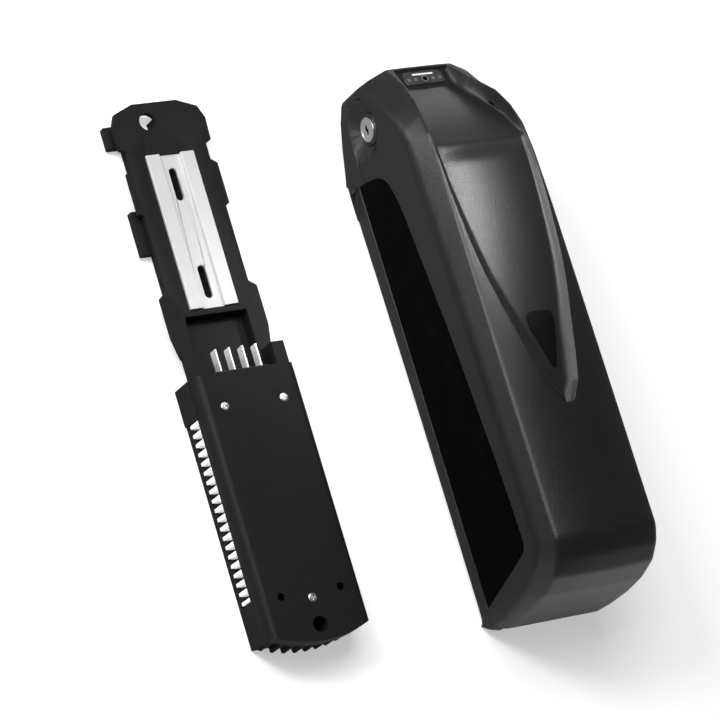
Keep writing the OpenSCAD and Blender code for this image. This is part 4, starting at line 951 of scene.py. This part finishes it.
lens = bpy.data.cameras.new("camera")
camera = bpy.data.objects.new("camera", lens)
scene.collection.objects.link(camera)
camera.matrix_world = Matrix.Translation(EYE) @ Matrix((RIGHT, UP, BACK)).transposed().to_4x4()
lens.sensor_width = SENSOR_WIDTH
lens.lens = FOCAL_LENGTH
lens.clip_end = 50
scene.camera = camera

# The floor's tone and its own light as the camera sees them. In a reflection it is darker: its
# tone there goes from one value to the other between two places along Y, in metres.
FLOOR_TONE, FLOOR_GLOW = 0.70, 0.62
MIRRORED_FROM, MIRRORED_TO = -0.24, -0.17
MIRRORED_TONES = 0.7, 0.15

floor = mesh_piece("floor", [[-6, -6, 0], [6, -6, 0], [6, 6, 0], [-6, 6, 0]], [[[0, 1, 2, 3]]])
paper = bpy.data.materials.new("studio_floor")
paper.use_nodes = True
tree = paper.node_tree
shader = tree.nodes["Principled BSDF"]
shader.inputs["Roughness"].default_value = 0.9
shader.inputs["Specular IOR Level"].default_value = 0.0
shader.inputs["Emission Strength"].default_value = FLOOR_GLOW
tone = tree.nodes.new("ShaderNodeMix")
tone.data_type = "RGBA"
tone.inputs["A"].default_value = (FLOOR_TONE, FLOOR_TONE, FLOOR_TONE, 1)
where = tree.nodes.new("ShaderNodeSeparateXYZ")
tree.links.new(tree.nodes.new("ShaderNodeTexCoord").outputs["Object"], where.inputs["Vector"])
mirrored = spread(tree, where.outputs["Y"], MIRRORED_FROM, MIRRORED_TO, *MIRRORED_TONES)
tree.links.new(mirrored, tone.inputs["B"])
tree.links.new(tree.nodes.new("ShaderNodeLightPath").outputs["Is Glossy Ray"], tone.inputs["Factor"])
for label in ("Base Color", "Emission Color"):
    tree.links.new(tone.outputs["Result"], shader.inputs[label])
floor.data.materials.append(paper)

# Light from all around: its strength at the horizon, and from a height ROOM_TOP of the unit sphere up
ROOM_LOW, ROOM_HIGH, ROOM_TOP = 0.42, 0.12, 0.6

world = bpy.data.worlds.new("studio") if scene.world is None else scene.world
scene.world = world
world.use_nodes = True
sky = world.node_tree
height = sky.nodes.new("ShaderNodeSeparateXYZ")
sky.links.new(sky.nodes.new("ShaderNodeTexCoord").outputs["Generated"], height.inputs["Vector"])
strength = spread(sky, height.outputs["Z"], 0.0, ROOM_TOP, ROOM_LOW, ROOM_HIGH)
sky.links.new(strength, sky.nodes["Background"].inputs["Strength"])
sky.nodes["Background"].inputs["Color"].default_value = (1, 1, 1, 1)


def soft_light(name, place_at, aim, width, tall, power, spread_degrees=None):
    """A rectangular soft light at a place, turned to face a point."""
    data = bpy.data.lights.new(name, "AREA")
    data.shape = "RECTANGLE"
    data.size, data.size_y, data.energy = width, tall, power
    if spread_degrees:
        data.spread = math.radians(spread_degrees)
    lamp = bpy.data.objects.new(name, data)
    scene.collection.objects.link(lamp)
    lamp.location = place_at
    lamp.rotation_euler = (Vector(aim) - Vector(place_at)).to_track_quat("-Z", "Y").to_euler()


# The key lights everything from above. Each of the others puts a highlight where its name says.
soft_light("key", (-0.36, 0.58, 1.44), (0, 0, 0), 1.3, 0.9, 20)
soft_light("wall", (-0.80, 0.52, 0.95), (0.1, 0.05, 0.1), 0.3, 0.45, 10)
soft_light("chamfer", (-0.72, 0.50, 0.13), (0.05, 0.10, 0.09), 0.42, 0.08, 2.6)
soft_light("nose", (0.30, 0.50, 0.012), (0.08, 0.15, 0.07), 0.3, 0.02, 0.19)
soft_light("dish", (0.147, 0.176, 0.402), (0.06, 0.08, 0.10), 0.1, 0.1, 0.075, 36)
scene.view_settings.view_transform = "Standard"
